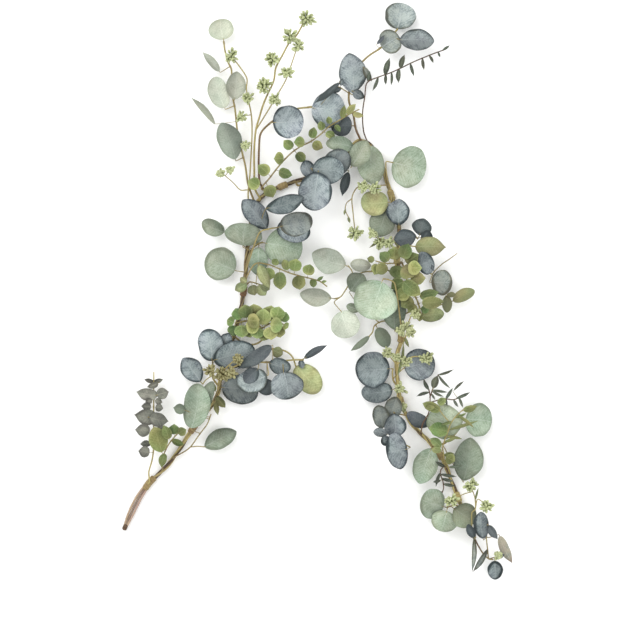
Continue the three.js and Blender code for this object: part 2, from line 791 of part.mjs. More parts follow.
// Points spread along a straight line, no more than a step apart.
function along(a, b, step) {
  const n = Math.max(1, Math.ceil(Math.hypot(b[0] - a[0], b[1] - a[1]) / step));
  const out = [];
  for (let i = 0; i <= n; i += 1) {
    const t = i / n;
    out.push([a[0] + (b[0] - a[0]) * t, a[1] + (b[1] - a[1]) * t, a[2] + (b[2] - a[2]) * t]);
  }
  return out;
}

// Points spread over a triangle, no more than a step apart.
function overTriangle(a, b, c, step) {
  const far = Math.max(
    Math.hypot(b[0] - a[0], b[1] - a[1]),
    Math.hypot(c[0] - a[0], c[1] - a[1]),
    Math.hypot(c[0] - b[0], c[1] - b[1]),
  );
  const n = Math.max(1, Math.ceil(far / step));
  const out = [];
  for (let i = 0; i <= n; i += 1) {
    for (let j = 0; j <= n - i; j += 1) {
      const u = i / n;
      const v = j / n;
      const w = 1 - u - v;
      out.push([0, 1, 2].map((k) => a[k] * w + b[k] * u + c[k] * v));
    }
  }
  return out;
}

// The nearest point, in plan, of some paths to a plan point.
function nearestOn(paths, x, y) {
  let best = null;
  for (const path of paths) {
    for (let i = 0; i < path.length - 1; i += 1) {
      const a = path[i];
      const b = path[i + 1];
      const dx = b[0] - a[0];
      const dy = b[1] - a[1];
      const t = Math.min(1, Math.max(0, ((x - a[0]) * dx + (y - a[1]) * dy) / (dx * dx + dy * dy || 1)));
      const point = [a[0] + dx * t, a[1] + dy * t, a[2] + (b[2] - a[2]) * t];
      const away = Math.hypot(point[0] - x, point[1] - y);
      if (!best || away < best.away) best = { away, point };
    }
  }
  return best;
}

// A closed solid from a geometry.
function solid(geometry) {
  const plain = geometry.index ? geometry.toNonIndexed() : geometry.clone();
  plain.deleteAttribute('normal');
  plain.deleteAttribute('uv');
  const merged = mergeVertices(plain, 1e-4);
  return new wasm.Manifold(new wasm.Mesh({
    numProp: 3,
    vertProperties: new Float32Array(merged.attributes.position.array),
    triVerts: new Uint32Array(merged.index.array),
  }));
}

function geometryOf(vertices, faces) {
  const geometry = new THREE.BufferGeometry();
  geometry.setAttribute('position', new THREE.Float32BufferAttribute(vertices.flat(), 3));
  geometry.setIndex(faces.flat());
  return geometry;
}

// A closed bar of even sides along a path, with one flat straight down; each point has its own reach from the
// middle to the flats.
function loft(points, reaches, sides) {
  const vertices = [];
  const faces = [];
  const last = points.length - 1;
  const up = new THREE.Vector3(0, 0, 1);
  points.forEach((p, i) => {
    const at = new THREE.Vector3(...p);
    const before = new THREE.Vector3(...points[Math.max(i - 1, 0)]);
    const after = new THREE.Vector3(...points[Math.min(i + 1, last)]);
    const way = new THREE.Vector3();
    if (i > 0) way.add(at.clone().sub(before).normalize());
    if (i < last) way.add(after.clone().sub(at).normalize());
    way.normalize();
    const left = up.clone().cross(way).normalize();
    const over = way.clone().cross(left);
    for (let k = 0; k < sides; k += 1) {
      const a = (2 * Math.PI * (k + 0.5)) / sides - Math.PI / 2;
      const r = reaches[i] / Math.cos(Math.PI / sides);
      const v = at.clone().addScaledVector(left, r * Math.cos(a)).addScaledVector(over, r * Math.sin(a));
      vertices.push([v.x, v.y, v.z]);
    }
    if (i === last) return;
    for (let k = 0; k < sides; k += 1) {
      const a = i * sides + k;
      const b = i * sides + ((k + 1) % sides);
      faces.push([a, b, b + sides], [a, b + sides, a + sides]);
    }
  });
  for (let k = 1; k < sides - 1; k += 1) {
    faces.push([0, k + 1, k], [last * sides, last * sides + k, last * sides + k + 1]);
  }
  return geometryOf(vertices, faces);
}

// The upper face of a blade: its points, its triangles and its rim from the heel's right round to its left.
function bladeShape(leaf) {
  const kind = KINDS[leaf.kind];
  const dx = leaf.tip[0] - leaf.heel[0];
  const dy = leaf.tip[1] - leaf.heel[1];
  const length = Math.hypot(dx, dy);
  const side = [-dy / length, dx / length];
  const half = leaf.width / 2;
  const slope = leaf.slope === undefined ? 0.1 * wobble(leaf.seed) : leaf.slope;
  const rise = (kind.rise + 0.05 * wobble(leaf.seed + 0.3)) * length + leaf.tilt;
  const bow = (kind.bow + 0.03 * wobble(leaf.seed + 0.6)) * length;
  const cup = kind.cup * half;
  const at = (u, v, share) => [
    leaf.heel[0] + dx * u + side[0] * v * share * half,
    leaf.heel[1] + dy * u + side[1] * v * share * half,
    leaf.heel[2] + rise * u + bow * 4 * u * (1 - u) + (cup * Math.abs(v) + slope * half * v) * share,
  ];
  const heelShare = STALK_HALF_WIDTH / half;
  const left = [at(0, 1, heelShare)];
  const right = [at(0, -1, heelShare)];
  left[0][2] = leaf.heel[2];
  right[0][2] = leaf.heel[2];
  for (const [u, share] of kind.rows) {
    left.push(at(u, 1, share));
    right.push(at(u, -1, share));
  }
  const n = left.length;
  const points = [...left, ...right, at(1, 0, 0)];
  const rim = [];
  for (let i = 0; i < n; i += 1) rim.push(n + i);
  rim.push(2 * n);
  for (let i = n - 1; i >= 0; i -= 1) rim.push(i);
  const faces = [];
  if (kind.dish) {
    points.push(at(0.43, 0, 0));
    rim.forEach((a, i) => faces.push([a, rim[(i + 1) % rim.length], 2 * n + 1]));
  } else {
    for (let i = 0; i < n - 1; i += 1) faces.push([i, n + i, n + i + 1], [i, n + i + 1, i + 1]);
    faces.push([n - 1, 2 * n - 1, 2 * n]);
  }
  return { points, faces, rim, length };
}

// The solid of a blade with its stalk, a three-sided bar that runs from the heel back to the stem's middle. A
// slim leaf that grows straight from its stem is a keeled spindle.
function leafGeometry(leaf) {
  const { points, faces: upper, rim } = bladeShape(leaf);
  if (leaf.kind === 'slim' && leaf.stalk.length === 0) {
    const [, left, , right, tip] = points;
    const low = [0, 1, 2].map((k) => (left[k] + right[k]) / 2);
    low[2] -= SLIM_KEEL;
    const spindle = [[0, 2, 1], [1, 2, 3], [0, 1, 4], [0, 4, 2], [3, 4, 1], [3, 2, 4]];
    return geometryOf([leaf.heel, left, right, tip, low], spindle);
  }
  const heelRight = rim[0];
  const heelLeft = rim[rim.length - 1];
  const count = points.length;
  const vertices = [...points, ...points.map((p) => [p[0], p[1], p[2] - BLADE_THICKNESS])];
  const keel = vertices.push([leaf.heel[0], leaf.heel[1], leaf.heel[2] - 2 * STALK_HALF_HEIGHT]) - 1;
  const under = (i) => (i === heelRight || i === heelLeft ? keel : i + count);
  const faces = [];
  const put = (a, b, c) => {
    if (a !== b && b !== c && c !== a) faces.push([a, b, c]);
  };
  for (const [a, b, c] of upper) {
    put(a, b, c);
    put(under(a), under(c), under(b));
  }
  for (let i = 0; i < rim.length - 1; i += 1) {
    put(rim[i], under(rim[i]), rim[i + 1]);
    put(rim[i + 1], under(rim[i]), under(rim[i + 1]));
  }
  let ring = [heelLeft, heelRight, keel];
  const line = [...leaf.stalk, leaf.heel, leaf.tip];
  for (let i = leaf.stalk.length - 1; i >= 0; i -= 1) {
    const p = line[i];
    const ahead = [line[i + 1][0] - p[0], line[i + 1][1] - p[1]];
    const behind = i > 0 ? [p[0] - line[i - 1][0], p[1] - line[i - 1][1]] : ahead;
    const aheadSize = Math.hypot(...ahead) || 1;
    const behindSize = Math.hypot(...behind) || 1;
    const way = [0, 1].map((k) => ahead[k] / aheadSize + behind[k] / behindSize);
    const size = Math.hypot(...way) || 1;
    const sx = (-way[1] / size) * STALK_HALF_WIDTH;
    const sy = (way[0] / size) * STALK_HALF_WIDTH;
    const low = [vertices.length, vertices.length + 1, vertices.length + 2];
    vertices.push([p[0] + sx, p[1] + sy, p[2] + STALK_HALF_HEIGHT]);
    vertices.push([p[0] - sx, p[1] - sy, p[2] + STALK_HALF_HEIGHT]);
    vertices.push([p[0], p[1], p[2] - STALK_HALF_HEIGHT]);
    for (let k = 0; k < 3; k += 1) {
      const m = (k + 1) % 3;
      faces.push([ring[k], low[k], low[m]], [ring[k], low[m], ring[m]]);
    }
    ring = low;
  }
  faces.push([ring[0], ring[2], ring[1]]);
  return geometryOf(vertices, faces);
}

// A seeded head: clubs that stand out all round a small hub, one that stands up, and a stalk to the stem.
function headGeometry(head) {
  const { count, centre, stalk, seed } = head;
  const middle = new THREE.Vector3(...centre);
  const wide = SEED_HUB_REACH * 0.9;
  const vertices = [];
  const faces = [];
  const put = (v) => vertices.push([v.x, v.y, v.z]) - 1;
  const upper = [];
  const lower = [];
  for (let k = 0; k < count; k += 1) {
    const a = (2 * Math.PI * k) / count + seed;
    const b = a + Math.PI / count;
    const high = new THREE.Vector3(Math.cos(a) * wide, Math.sin(a) * wide, SEED_HUB_REACH / 2);
    const low = new THREE.Vector3(Math.cos(b) * wide, Math.sin(b) * wide, -SEED_HUB_REACH / 2);
    upper.push(put(high.add(middle)));
    lower.push(put(low.add(middle)));
  }
  const club = (ring, direction, size) => {
    const pivot = new THREE.Vector3();
    for (const i of ring) pivot.add(new THREE.Vector3(...vertices[i]).divideScalar(ring.length));
    const belly = middle.clone().addScaledVector(direction, size);
    const belt = ring.map((i) => {
      const out = new THREE.Vector3(...vertices[i]).sub(pivot);
      out.addScaledVector(direction, -out.dot(direction)).normalize();
      return put(belly.clone().addScaledVector(out, SEED_HALF_WIDTH));
    });
    for (let k = 0; k < ring.length; k += 1) {
      const m = (k + 1) % ring.length;
      faces.push([ring[k], ring[m], belt[m]], [ring[k], belt[m], belt[k]]);
    }
    for (let k = 1; k < ring.length - 1; k += 1) faces.push([belt[0], belt[k], belt[k + 1]]);
  };
  for (const tip of headDirections(head)) {
    const { direction, size, slot } = tip;
    const k = Math.floor(slot / 2);
    const m = (k + 1) % count;
    if (slot === 2 * count) club(upper, direction, size);
    else if (slot % 2 === 0) club([upper[k], lower[k], upper[m]], direction, size);
    else club([lower[k], lower[m], upper[m]], direction, size);
  }
  let ring = [...lower].reverse();
  const turn = new THREE.Quaternion();
  const down = new THREE.Vector3(0, 0, -1);
  let from = middle.clone();
  for (const p of [...stalk].reverse()) {
    const next = new THREE.Vector3(...p);
    turn.setFromUnitVectors(down, next.clone().sub(from).normalize());
    const low = ring.map((i, k) => {
      const a = (2 * Math.PI * (count - 1 - k)) / count + seed + Math.PI / count;
      const out = new THREE.Vector3(Math.cos(a), Math.sin(a), 0).multiplyScalar(STALK_HALF_WIDTH);
      return put(next.clone().add(out.applyQuaternion(turn)));
    });
    for (let k = 0; k < ring.length; k += 1) {
      const m = (k + 1) % ring.length;
      faces.push([ring[k], ring[m], low[m]], [ring[k], low[m], low[k]]);
    }
    ring = low;
    from = next;
  }
  for (let k = 1; k < ring.length - 1; k += 1) faces.push([ring[0], ring[k], ring[k + 1]]);
  return geometryOf(vertices, faces);
}

// The clubs of a head: where each points, how far, and the face of the hub that it grows from.
function headDirections(head) {
  const { count, reach, seed } = head;
  const out = [];
  for (let slot = 0; slot < 2 * count; slot += 1) {
    const turn = (Math.PI * (slot + 1)) / count + seed;
    const lean = (slot % 2 === 0 ? 0.6 : 0.15) + 0.08 * wobble(seed + slot * 0.71);
    const flat = Math.cos(lean);
    const direction = new THREE.Vector3(Math.cos(turn) * flat, Math.sin(turn) * flat, Math.sin(lean));
    out.push({ slot, direction, size: reach * (1 + 0.12 * wobble(seed + slot * 0.37)) });
  }
  out.push({ slot: 2 * count, direction: new THREE.Vector3(0, 0, 1), size: reach * 0.6 });
  return out;
}

// Raises a stem's points, all but its root, till it clears what lies under it.
function liftPath(path, radius, side, base) {
  for (let i = 1; i < path.length - 1; i += 1) {
    const a = path[i];
    const b = path[i + 1];
    const away = Math.hypot(b[0] - a[0], b[1] - a[1]) || 1;
    const sx = -(b[1] - a[1]) / away;
    const sy = (b[0] - a[0]) / away;
    let level = OPEN;
    for (const p of along(a, b, 2)) {
      for (let s = -2; s <= 2; s += 1) {
        const under = base[cellAt(p[0] + (sx * s * side) / 2, p[1] + (sy * s * side) / 2)];
        level = Math.max(level, under + STEM_GAP + radius);
      }
    }
    a[2] = Math.max(a[2], level);
    b[2] = Math.max(b[2], level);
  }
  for (let i = 2; i < path.length; i += 1) {
    const d = Math.hypot(path[i][0] - path[i - 1][0], path[i][1] - path[i - 1][1]);
    path[i][2] = Math.max(path[i][2], path[i - 1][2] - 0.9 * d);
  }
  for (let i = path.length - 2; i >= 1; i -= 1) {
    const d = Math.hypot(path[i][0] - path[i + 1][0], path[i][1] - path[i + 1][1]);
    path[i][2] = Math.max(path[i][2], path[i + 1][2] - 0.9 * d);
  }
}

// A point of a stalk close to the stem, high enough for the rest of the stalk to clear what lies under it.
function stalkBend(from, to, base) {
  const d = Math.hypot(to[0] - from[0], to[1] - from[1]);
  const t = Math.min(0.5, 5 / Math.max(d, 1));
  const bend = [0, 1, 2].map((k) => from[k] + (to[k] - from[k]) * (k === 2 ? 0.6 : t));
  let need = 0;
  for (const p of along(bend, to, 2)) {
    need = Math.max(need, base[cellAt(p[0], p[1])] + STEM_GAP + STALK_HALF_HEIGHT - p[2]);
  }
  bend[2] += need;
  return bend;
}

function coverLine(field, points, half, reach) {
  for (let i = 0; i < points.length - 1; i += 1) {
    for (const p of along(points[i], points[i + 1], 2)) cover(field, p[0], p[1], p[2] + half, reach);
  }
}

// The place on the vine, near a wanted one, where a stem's foot can lie with the least laid over it. The foot
// lies wholly on a wrap or wholly clear of one.
function rootSpot(vine, x, y, base) {
  let best = null;
  for (let i = TAIL_KNOT; i < vine.length - 1; i += 1) {
    const d = Math.hypot(vine[i + 1][0] - vine[i][0], vine[i + 1][1] - vine[i][1]);
    const way = [(vine[i + 1][0] - vine[i][0]) / d, (vine[i + 1][1] - vine[i][1]) / d];
    for (const p of along(vine[i], vine[i + 1], 2)) {
      const away = Math.hypot(p[0] - x, p[1] - y);
      const wrap = Math.min(...WRAPS.map((at) => Math.hypot(vine[at][0] - p[0], vine[at][1] - p[1])));
      const onWrap = wrap < WRAP_LENGTH / 2 - FOOT_LENGTH - 1;
      const offWrap = wrap > WRAP_LENGTH / 2 + WRAP_SHOULDER + FOOT_LENGTH + 2;
      if (away > ROOT_SHIFT || !(onWrap || offWrap)) continue;
      const top = VINE_HEIGHT + (onWrap ? WRAP_REACH : VINE_RADIUS) + SEAT_GAP;
      let over = 0;
      for (const dx of [-5, 0, 5]) {
        for (const dy of [-5, 0, 5]) {
          over = Math.max(over, base[cellAt(p[0] + dx, p[1] + dy)] - (top - STEM_GAP));
        }
      }
      const cost = away + 8 * over;
      if (!best || cost < best.cost) best = { cost, way, point: [p[0], p[1], top + over] };
    }
  }
  return best;
}

// From a stem's middle to its flats.
function stemReach(radius) {
  return radius * (radius > 1.85 ? 0.9 : 0.8);
}

// A stem of a spray, arched and raised over what is already laid. The first one starts with a foot along the
// vine.
function placeStem(row, paths, vine, side, base, settle) {
  const [radius, arch, ...plan] = row;
  const points = plan.map((p) => [p[0], p[1]]);
  const first = paths.length === 0;
  const [x, y] = points[0];
  const spot = first ? rootSpot(vine, x, y, base) : nearestOn(paths, x, y);
  const root = spot.point;
  const height = first ? root[2] + stemReach(radius) - settle : root[2];
  points[0] = [root[0], root[1]];
  const d = Math.hypot(points[1][0] - root[0], points[1][1] - root[1]);
  const t = Math.min(0.4, 3.5 / d);
  points.splice(1, 0, [root[0] + (points[1][0] - root[0]) * t, root[1] + (points[1][1] - root[1]) * t]);
  const run = [0];
  for (let i = 1; i < points.length; i += 1) {
    run.push(run[i - 1] + Math.hypot(points[i][0] - points[i - 1][0], points[i][1] - points[i - 1][1]));
  }
  const path = points.map((p, i) => {
    const s = run[i] / run[run.length - 1];
    return [p[0], p[1], height + arch * (3.2 * s * (1 - s) + 0.3 * s)];
  });
  liftPath(path, radius, side, base);
  if (first) {
    const ahead = (points[1][0] - root[0]) * spot.way[0] + (points[1][1] - root[1]) * spot.way[1];
    const back = ahead < 0 ? -FOOT_LENGTH : FOOT_LENGTH;
    path.unshift([root[0] - spot.way[0] * back, root[1] - spot.way[1] * back, height]);
  }
  return path;
}

// How far a blade must rise, and how far its tip must tilt up about the heel, to clear what lies under it.
function clearance(leaf, near, fields) {
  const shape = bladeShape(leaf);
  const dx = (leaf.tip[0] - leaf.heel[0]) / shape.length;
  const dy = (leaf.tip[1] - leaf.heel[1]) / shape.length;
  let lift = 0;
  let tilt = 0;
  for (const [a, b, c] of shape.faces) {
    for (const p of overTriangle(shape.points[a], shape.points[b], shape.points[c], 2)) {
      const cell = cellAt(p[0], p[1]);
      const far = Math.hypot(p[0] - near[0], p[1] - near[1]);
      const under = p[2] - BLADE_THICKNESS - BLADE_GAP;
      let need = fields.base[cell] - under;
      if (far > 7) need = Math.max(need, fields.all[cell] - under);
      if (far > 6) need = Math.max(need, fields.stems[cell] - under);
      if (need <= 0) continue;
      lift = Math.max(lift, need);
      const reach = (p[0] - leaf.heel[0]) * dx + (p[1] - leaf.heel[1]) * dy;
      tilt = Math.max(tilt, (need * shape.length) / Math.max(reach, 0.5));
    }
  }
  return { lift, tilt };
}

// A leaf of a spray: it grows straight from the stem where it can, or stands on a stalk over what lies there.
function placeLeaf(row, seed, paths, fields) {
  const [kind, hx, hy, tx, ty, width, slope] = row;
  const near = nearestOn(paths, hx, hy);
  const leaf = { kind, width, slope, seed, tilt: 0, tip: [tx, ty], stalk: [] };
  const point = near.point;
  if (near.away < 7) {
    leaf.heel = [point[0], point[1], point[2] + 0.4];
    const { lift, tilt } = clearance(leaf, point, fields);
    const length = Math.hypot(tx - point[0], ty - point[1]);
    if (lift <= 0 || tilt < KINDS[kind].lean * length) {
      leaf.tilt = lift > 0 ? tilt : 0;
      return leaf;
    }
    const step = Math.min(6, length * 0.2) / length;
    leaf.heel = [point[0] + (tx - point[0]) * step, point[1] + (ty - point[1]) * step, point[2] + 1.5];
  } else {
    leaf.heel = [hx, hy, point[2] + 2];
  }
  leaf.heel[2] += clearance(leaf, point, fields).lift;
  const length = Math.hypot(tx - leaf.heel[0], ty - leaf.heel[1]);
  const away = Math.hypot(leaf.heel[0] - point[0], leaf.heel[1] - point[1]);
  const back = Math.min(3, away * 0.4) / length;
  const before = [
    leaf.heel[0] - (tx - leaf.heel[0]) * back,
    leaf.heel[1] - (ty - leaf.heel[1]) * back,
    leaf.heel[2] - BLADE_THICKNESS / 2,
  ];
  const under = fields.base[cellAt(before[0], before[1])] + STEM_GAP + STALK_HALF_HEIGHT;
  before[2] = Math.max(before[2], under);
  const out = [leaf.heel[0] - point[0], leaf.heel[1] - point[1]];
  const onward = out[0] * (tx - leaf.heel[0]) + out[1] * (ty - leaf.heel[1]);
  const turn = onward / (Math.max(away, 0.1) * length);
  leaf.stalk = [point];
  if (away > 10) leaf.stalk.push(stalkBend(point, before, fields.base));
  if (turn < 0.5) leaf.stalk.push(before);
  return leaf;
}

// A head of a spray on its stalk over the stem.
function placeHead(row, seed, paths, radius, fields) {
  const [x, y, reach] = row;
  const near = nearestOn(paths, x, y).point;
  const centre = [x, y, near[2] + radius + 3];
  const head = { count: reach < 17 ? 3 : 4, centre, reach, seed, stalk: [near] };
  let lift = 0;
  for (const { direction, size } of headDirections(head)) {
    const end = [x + direction.x * size, y + direction.y * size, centre[2] + direction.z * size];
    for (const p of along(centre, end, 2)) {
      for (const side of [-2, 0, 2]) {
        const cell = cellAt(p[0] - direction.y * side, p[1] + direction.x * side);
        lift = Math.max(lift, fields.all[cell] + BLADE_GAP + SEED_HALF_WIDTH * 0.9 - p[2]);
      }
    }
  }
  centre[2] += lift;
  if (Math.hypot(x - near[0], y - near[1]) > 8) head.stalk.push(stalkBend(near, centre, fields.base));
  return head;
}

// The whole garland laid out: the vine first, then each spray over what is already there.
function layOut() {
  const all = newField(TABLE_GAP - BLADE_GAP);
  const vine = VINE_PATH.map(([x, y]) => [x, y, VINE_HEIGHT]);
  coverLine(all, vine, VINE_RADIUS + SEAT_GAP - STEM_GAP, VINE_RADIUS);
  for (const at of WRAPS) {
    cover(all, vine[at][0], vine[at][1], VINE_HEIGHT + WRAP_REACH + SEAT_GAP - STEM_GAP, WRAP_LENGTH / 2 + 2);
  }
  let seed = 1;
  const sprays = SPRAYS.map((spray) => {
    const fields = { base: all.slice(), all, stems: newField(OPEN) };
    const stems = [];
    const paths = [];
    for (const row of spray.stems) {
      const path = placeStem(row, paths, vine, spray.side, fields.base, spray.settle ?? 0);
      paths.push(path);
      stems.push({ radius: row[0], path });
      coverLine(fields.stems, path, row[0], row[0]);
    }
    const leaves = spray.leaves.map((row) => {
      seed += 1;
      const leaf = placeLeaf(row, seed, paths, fields);
      const shape = bladeShape(leaf);
      for (const [a, b, c] of shape.faces) {
        for (const p of overTriangle(shape.points[a], shape.points[b], shape.points[c], 2)) {
          cover(all, p[0], p[1], p[2], 1.5);
        }
      }
      coverLine(all, [...leaf.stalk, leaf.heel], STALK_HALF_HEIGHT, STALK_HALF_WIDTH);
      return leaf;
    });
    const heads = spray.heads.map((row) => {
      seed += 1;
      const head = placeHead(row, seed, paths, spray.stems[0][0], fields);
      const [x, y, z] = head.centre;
      for (const { direction, size } of headDirections(head)) {
        const end = [x + direction.x * size, y + direction.y * size, z + direction.z * size];
        coverLine(all, [head.centre, end], SEED_HALF_WIDTH, SEED_HALF_WIDTH);
      }
      coverLine(all, [...head.stalk, head.centre], STALK_HALF_HEIGHT, STALK_HALF_WIDTH);
      return head;
    });
    for (let i = 0; i < all.length; i += 1) all[i] = Math.max(all[i], fields.stems[i]);
    return { name: spray.name, look: spray.look, stems, leaves, heads };
  });
  return { vine, sprays };
}

function fuse(bodies) {
  let whole = bodies[0];
  for (let i = 1; i < bodies.length; i += 1) whole = whole.add(bodies[i]);
  return whole;
}

function meshOf(name, body, look) {
  const made = body.getMesh();
  const geometry = new THREE.BufferGeometry();
  geometry.setAttribute('position', new THREE.Float32BufferAttribute(made.vertProperties, 3));
  geometry.setIndex(Array.from(made.triVerts));
  geometry.computeVertexNormals();
  const [color, roughness] = LOOKS[look];
  const mesh = new THREE.Mesh(geometry, new THREE.MeshStandardMaterial({ color, roughness, metalness: 0 }));
  mesh.name = name;
  return mesh;
}

// A point some way from one place towards another.
function toward(from, to) {
  const d = Math.hypot(to[0] - from[0], to[1] - from[1]);
  return (s) => [from[0] + ((to[0] - from[0]) * s) / d, from[1] + ((to[1] - from[1]) * s) / d, from[2]];
}

const { vine, sprays } = layOut();
const garland = new THREE.Group();
garland.name = 'eucalyptus_garland';

// The vine: a taped wire core, wound thicker at the wraps.
const vineLine = [];
const vineReach = [];
for (let i = TAIL_KNOT; i < vine.length; i += 1) {
  if (!WRAPS.includes(i)) {
    vineLine.push(vine[i]);
    vineReach.push(VINE_RADIUS);
    continue;
  }
  const half = i === TAIL_KNOT ? WRAP_LENGTH * 0.8 : WRAP_LENGTH / 2;
  const before = toward(vine[i], vine[i - 1]);
  const after = toward(vine[i], vine[i + 1]);
  if (i !== TAIL_KNOT) {
    vineLine.push(before(half + WRAP_SHOULDER));
    vineReach.push(VINE_RADIUS);
  }
  vineLine.push(before(half), after(half), after(half + WRAP_SHOULDER));
  vineReach.push(WRAP_REACH, WRAP_REACH, VINE_RADIUS);
}
const vineBodies = [solid(loft(vineLine, vineReach, 6))];

// The bare tail: three wires side by side from the knot to the cut end, where they are bound together.
const endOfTail = toward(vine[0], vine[1]);
vineBodies.push(solid(loft([endOfTail(-1), endOfTail(9)], [TAIL_END_REACH, TAIL_END_REACH], 6)));
for (const side of [-1, 0, 1]) {
  const wire = vine.slice(0, TAIL_KNOT + 1).map((p, i) => {
    const ahead = toward(p, vine[i + 1])(1);
    const away = [0.45, 1, 1, 0.6][i] * side * TAIL_WIRE_SPACING;
    const start = i === 0 ? endOfTail(4) : p;
    return [start[0] - (ahead[1] - p[1]) * away, start[1] + (ahead[0] - p[0]) * away, p[2]];
  });
  vineBodies.push(solid(loft(wire, wire.map(() => TAIL_WIRE_RADIUS), 5)));
}
garland.add(meshOf('main_vine', fuse(vineBodies), 'vine'));

for (const spray of sprays) {
  const bodies = spray.stems.map(({ path, radius }) => {
    const reaches = path.map(() => stemReach(radius));
    return solid(loft(path, reaches, radius > 1.85 ? 5 : 4));
  });
  for (const leaf of spray.leaves) bodies.push(solid(leafGeometry(leaf)));
  for (const head of spray.heads) bodies.push(solid(headGeometry(head)));
  garland.add(meshOf(spray.name, fuse(bodies), spray.look));
}

export default garland;
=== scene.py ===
"""Eucalyptus garland: cloth leaves, wired stems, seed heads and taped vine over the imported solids."""

import math
from functools import cache

import bpy
import numpy as np
from bpy.props import FloatProperty, FloatVectorProperty, PointerProperty
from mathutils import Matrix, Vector


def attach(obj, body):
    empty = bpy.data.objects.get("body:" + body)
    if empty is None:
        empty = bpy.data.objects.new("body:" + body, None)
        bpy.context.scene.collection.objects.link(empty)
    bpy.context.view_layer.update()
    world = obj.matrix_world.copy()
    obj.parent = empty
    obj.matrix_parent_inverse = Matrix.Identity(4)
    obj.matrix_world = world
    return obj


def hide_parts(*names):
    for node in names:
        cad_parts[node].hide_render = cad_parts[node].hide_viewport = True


bl_info = {
    "name": "Eucalyptus Garland",
    "version": (1, 0, 0),
    "blender": (4, 5, 0),
    "location": "View3D > Sidebar > Garland",
    "description": "Dresses an artificial eucalyptus garland with leaves, stems, seed heads and tape",
    "category": "Object",
}

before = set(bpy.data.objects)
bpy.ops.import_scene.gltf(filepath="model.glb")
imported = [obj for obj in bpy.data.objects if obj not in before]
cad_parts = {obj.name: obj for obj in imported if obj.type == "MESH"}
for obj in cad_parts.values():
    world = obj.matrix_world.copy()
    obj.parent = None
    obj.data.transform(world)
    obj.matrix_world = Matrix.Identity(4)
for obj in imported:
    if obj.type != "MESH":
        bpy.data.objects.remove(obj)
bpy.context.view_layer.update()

MM = 0.001

# The photo: its width in pixels, the millimetres that a pixel stands for, and where its middle lies.
PHOTO_WIDTH = 640
PIXEL = 1.8
PHOTO_SHIFT = (3, -18)

# The vine and its wraps, in millimetres as all sizes here are till a mesh is made.
VINE_RADIUS = 4
WRAP_REACH = 6
WRAP_LENGTH = 16
WRAP_SHOULDER = 1.5
TAIL_WIRE_RADIUS = 2
TAIL_WIRE_SPACING = 4.3
VINE_HEIGHT = WRAP_REACH

# Leaves, stalks and seeds, and the air between one spray and the next.
BLADE_THICKNESS = 0.9
STALK_HALF_WIDTH = 1.1
STALK_HALF_HEIGHT = 0.9
SEED_HALF_WIDTH = 3.4
SEAT_GAP = 0.3
STEM_GAP = 0.9
BLADE_GAP = 1.3
TABLE_GAP = 1.2
ROOT_SHIFT = 70
FOOT_LENGTH = 4

# How far apart points are tried over what lies below, how steeply a stem climbs, and how near a stem a leaf
# grows straight from it.
STEP = 2
CLIMB = 0.9
ON_STEM = 7

VINE_PATH = [
    (-348, -430), (-336, -402), (-321, -372), (-303, -346), (-262, -306), (-224, -248), (-190, -206),
    (-179, -184), (-172, -150), (-155, -96), (-141, -45), (-132, 0), (-127, 60), (-120, 118),
    (-112, 154), (-96, 173), (-62, 190), (2, 212), (32, 230), (56, 252), (74, 271),
    (89, 269), (103, 255), (115, 238), (122, 212), (134, 173), (143, 145), (149, 100),
    (144, 58), (146, 20), (151, -30), (152, -84), (144, -120), (146, -163), (151, -200),
    (170, -238), (200, -270), (222, -295), (236, -324), (254, -372), (265, -402), (284, -446),
]
WRAPS = [3, 5, 8, 11, 16, 19, 25, 28, 31, 34, 37, 39]
TAIL_KNOT = WRAPS[0]

# The kinds of blade: stations with their share of the half width, then cup, rise, bow and the steepest lean.
# The outline is a power of the circle's, the waist moves its widest place, the fold drops the midrib, and the
# grid is the number of rows and columns of the fine blade.
KINDS = {
    "round": {"rows": [(0.08, 0.54), (0.3, 0.92), (0.6, 0.98), (0.87, 0.67)], "dish": True, "cup": 0.12,
              "rise": 0.05, "bow": 0.04, "lean": 0.22, "power": 0.5, "waist": 1.0, "fold": 0.3,
              "grid": (24, 16)},
    "oval": {"rows": [(0.1, 0.46), (0.32, 0.92), (0.6, 0.94), (0.86, 0.56)], "dish": True, "cup": 0.14,
             "rise": 0.05, "bow": 0.04, "lean": 0.22, "power": 0.72, "waist": 1.0, "fold": 0.3,
             "grid": (24, 16)},
    "egg": {"rows": [(0.16, 0.72), (0.5, 1.02), (0.83, 0.68)], "dish": True, "cup": 0.14,
            "rise": 0.05, "bow": 0.04, "lean": 0.25, "power": 0.58, "waist": 1.0, "fold": 0.3,
            "grid": (18, 12)},
    "point": {"rows": [(0.26, 0.86), (0.62, 0.92)], "dish": False, "cup": 0,
              "rise": 0.08, "bow": 0.06, "lean": 0.35, "power": 0.8, "waist": 0.85, "fold": 0.6,
              "grid": (16, 8)},
    "small": {"rows": [(0.3, 1.06), (0.72, 1.1)], "dish": False, "cup": 0,
              "rise": 0.15, "bow": 0.08, "lean": 0.5, "power": 0.56, "waist": 0.95, "fold": 1.0,
              "grid": (12, 8)},
    "slim": {"rows": [(0.42, 1)], "dish": False, "cup": 0,
             "rise": 0.06, "bow": 0.05, "lean": 1.2, "power": 0.9, "waist": 0.85, "fold": 0.7,
             "grid": (9, 4)},
}

SPRAYS = []


def spray(name, look, side, stems, leaves=(), heads=(), **own):
    """Adds a spray: its name, its look, the room that its stems keep, its rows and what is its own."""
    plain = {"settle": 0, "tones": "", "brown": 0.35, "seed_tan": 0.0, "pointed": False}
    SPRAYS.append({"name": name, "look": look, "side": side, "stems": stems, "leaves": leaves, "heads": heads,
                   **plain, **own})


